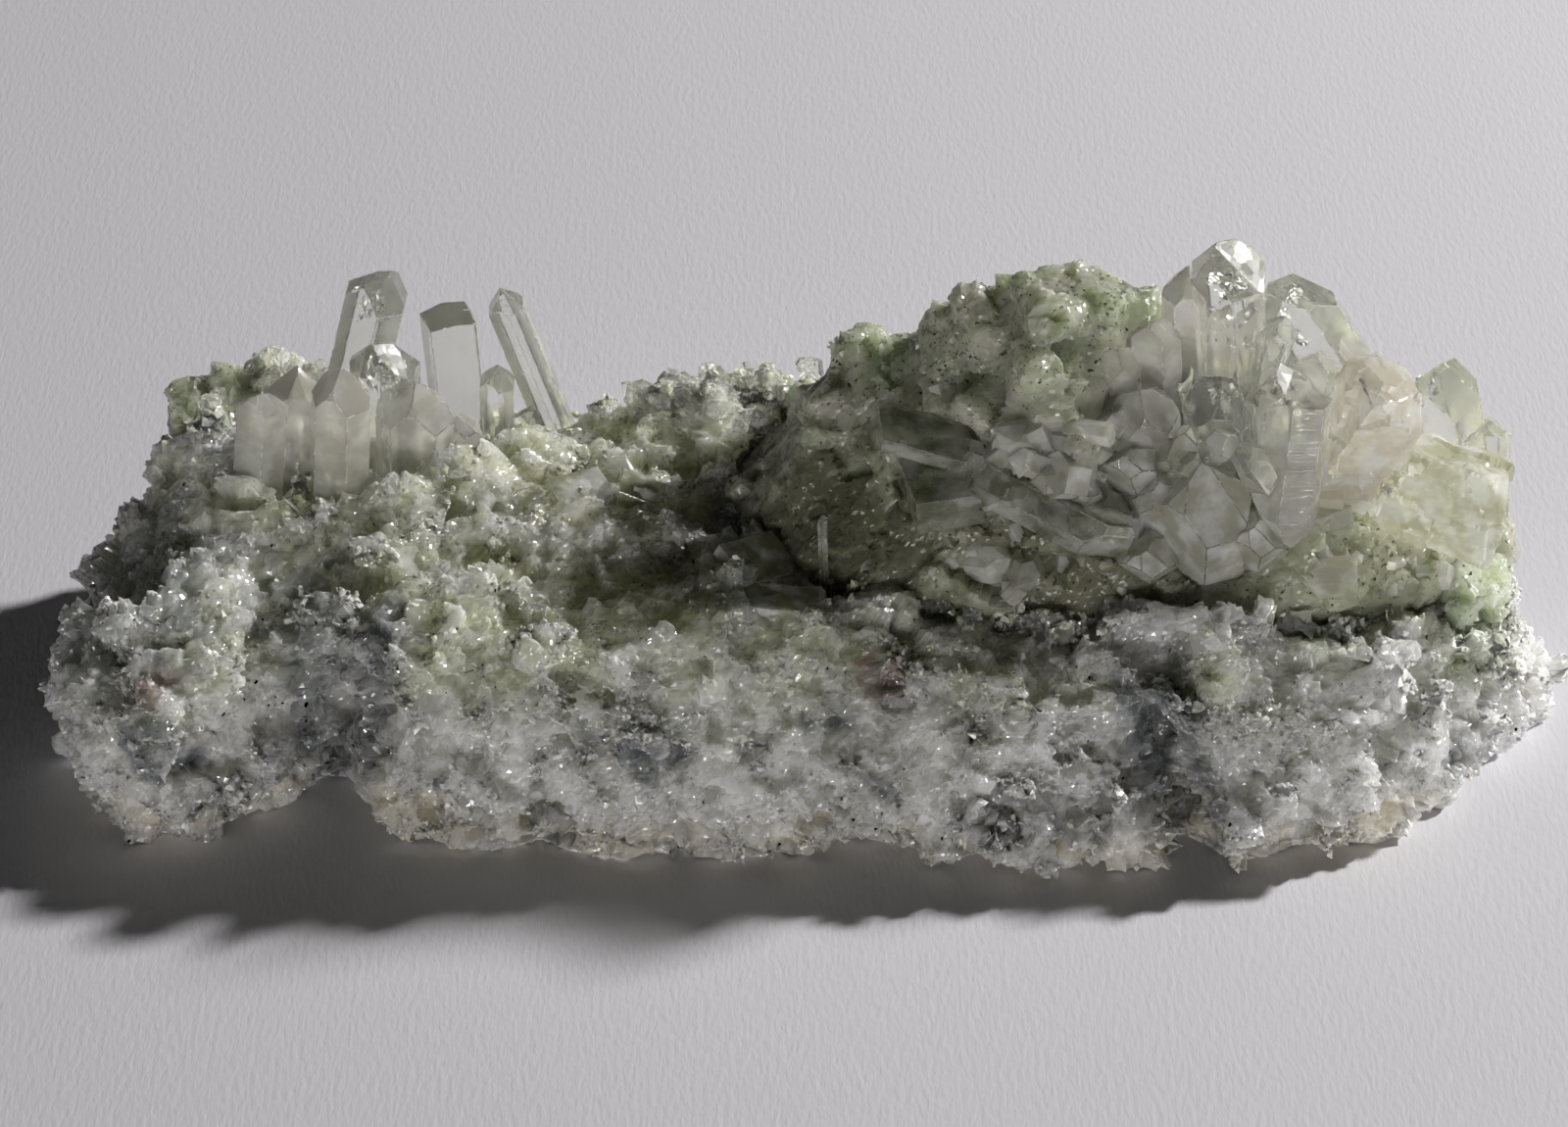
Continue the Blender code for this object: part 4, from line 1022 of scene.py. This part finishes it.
def crack_sheet(name, crack):
    """A thin gap of air, broken in small flat steps, with a ragged edge."""
    bpy.ops.object.select_all(action="DESELECT")
    bpy.ops.mesh.primitive_circle_add(vertices=12, radius=0.5, fill_type="TRIFAN")
    sheet = bpy.context.object
    sheet.name = name
    editing(sheet)
    bpy.ops.mesh.subdivide(number_cuts=3)
    done_editing()
    for v in sheet.data.vertices:
        reach = 1.0 + 0.8 * noise.noise(v.co * 5.0 + Vector(crack.centre))
        wave = 0.20 * noise.noise(v.co * 3.0 - Vector(crack.centre)) + 0.10 * noise.noise(v.co * 11.0)
        v.co = Vector((v.co.x * reach * crack.size[0], v.co.y * reach * crack.size[1], wave))
    turned = Euler([math.radians(a) for a in crack.turn]).to_matrix().to_4x4()
    place = Matrix.Translation(Vector(crack.centre) + TABLE_ZERO)
    sheet.data.transform(Matrix.Scale(MM, 4) @ place @ turned)
    thick = sheet.modifiers.new("gap", "SOLIDIFY")
    thick.thickness = 0.02 * MM
    apply_modifiers(sheet)
    return sheet


def make_cracks(finish):
    sheets = [crack_sheet(f"crack_{k}", crack) for k, crack in enumerate(CRACKS)]
    put(gathered("quartz_inner_cracks", sheets), finish, "quartz")


# Camera, light and floor

def make_camera():
    camera = bpy.data.objects.new("camera", bpy.data.cameras.new("camera"))
    bpy.context.scene.collection.objects.link(camera)
    camera.location = (CAMERA_TARGET + VIEWER * CAMERA_DISTANCE) * MM
    camera.rotation_euler = (math.radians(90) - CAMERA_ELEVATION, 0, 0)
    camera.data.lens = LENS
    camera.data.sensor_width = SENSOR
    camera.data.clip_start = 0.01
    bpy.context.scene.camera = camera


def lamp(name, shape, size, watts, towards, distance, colour):
    """An area lamp that looks at the origin."""
    data = bpy.data.lights.new(name, "AREA")
    data.shape = shape
    data.size, data.size_y = size
    data.energy = watts
    data.color = colour
    made = bpy.data.objects.new(name, data)
    bpy.context.scene.collection.objects.link(made)
    made.location = towards.normalized() * distance
    made.rotation_euler = towards.to_track_quat("Z", "Y").to_euler()


def make_studio():
    lamp("key", "DISK", (0.06, 0.06), 10.0, KEY_TOWARDS, KEY_DISTANCE * MM, (1.0, 0.98, 0.96))
    lamp("low_card", "RECTANGLE", (1.0, 0.06), 4.1, Vector((-0.1, -1.0, 0.036)), 0.9, (1.0, 0.98, 0.95))
    bpy.context.scene.view_settings.view_transform = "Standard"
    world = bpy.data.worlds.new("room")
    bpy.context.scene.world = world
    world.use_nodes = True
    tree = world.node_tree
    direction = node(tree, "ShaderNodeTexCoord").outputs["Generated"]
    up = node(tree, "ShaderNodeSeparateXYZ", {0: direction}).outputs["Z"]
    walls = maths(tree, "POWER", maths(tree, "SUBTRACT", 1.0, maths(tree, "ABSOLUTE", up)), 3.0)
    glow = maths(tree, "MULTIPLY_ADD", walls, 0.05, 0.006)
    sky = tree.nodes["Background"]
    sky.inputs["Color"].default_value = (1.0, 0.99, 0.97, 1)
    tree.links.new(glow, sky.inputs["Strength"])
    bpy.ops.object.select_all(action="DESELECT")
    bpy.ops.mesh.primitive_plane_add(size=3.0)
    floor = bpy.context.object
    floor.name = "floor"
    paper, tree, shader = material("pale_paper")
    place = place_in_mm(tree)
    fibres = clouds(tree, vectors(tree, "MULTIPLY", place, (3.0, 0.9, 1.0)), 1.0, 2.0)
    bump = node(tree, "ShaderNodeBump", {"Height": fibres, "Distance": 0.00005, "Strength": 0.7})
    tree.links.new(bump.outputs[0], shader.inputs["Normal"])
    set_plain(shader, Base_Color=(0.76, 0.755, 0.80, 1), Roughness=0.9)
    floor.data.materials.append(paper)


def main():
    sparkle = sparkle_group()
    finishes = {
        "rock": rock_finish("sugary_rock", sparkle, False),
        "grains": rock_finish("loose_grains", sparkle, True),
        "green": fluorite_finish(sparkle),
        "clear": clear_finish("clear_quartz", sparkle, (0.94, 0.94, 0.90, 1), 0.94, 0.03, 0.02, 0.15, 40.0),
        "grey": clear_finish("grey_quartz", sparkle, (0.66, 0.64, 0.60, 1), 0.74, 0.08, 0.03, 0.4, 60.0),
        "smoky": clear_finish("smoky_quartz", sparkle, (0.62, 0.61, 0.52, 1), 0.58, 0.10, 0.05, 0.5, 110.0),
        "dusky": clear_finish("dusky_calcite", sparkle, (0.36, 0.38, 0.29, 1), 0.80, 0.10, 0.05, 0.5, 160.0),
        "olive": clear_finish("olive_calcite", sparkle, (0.40, 0.41, 0.27, 1), 0.50, 0.14, 0.20, 0.5, 80.0),
        "cream": clear_finish("cream_calcite", sparkle, (0.75, 0.71, 0.62, 1), 0.62, 0.16, 0.04, 0.40, 60.0),
        "cloudy": clear_finish("cloudy_calcite", sparkle, (0.60, 0.60, 0.45, 1), 0.58, 0.16, 0.04, 0.35, 60.0),
    }
    rock = make_rock(finishes["grains"])
    make_back_row(rock, finishes["clear"])
    put(rock, finishes["rock"], "matrix", "matrix_rock")
    make_mound(finishes["green"], finishes["smoky"])
    make_broken_block("fluorite_corner", finishes["green"], "fluorite", (2.0, 0.30, 0.36), (0.8, 0.16, 0.06), MOUND_HUE)
    make_broken_block("fluorite_edge", finishes["green"], "fluorite", (2.0, 0.40, 0.50), (0.8, 0.22, 0.10), LEAF_HUE)
    make_broken_block("calcite_block_centre", finishes["cream"], "calcite", (4.4, 0.12, 0.14), (1.4, 0.06, 0.03))
    make_broken_block("calcite_block_end", finishes["cloudy"], "calcite", (4.6, 0.14, 0.18), (1.4, 0.06, 0.03))
    worn = worn_finish()
    for name, finish, node_name, crystals in CLUSTERS:
        make_cluster(name, finishes[finish], worn, node_name, crystals)
    for node_name, finish, slot in CRYSTALS:
        make_crystal(node_name, finishes[finish], worn, slot)
    make_embedded(finishes["olive"], worn)
    make_cracks(crack_finish())
    make_camera()
    make_studio()


main()
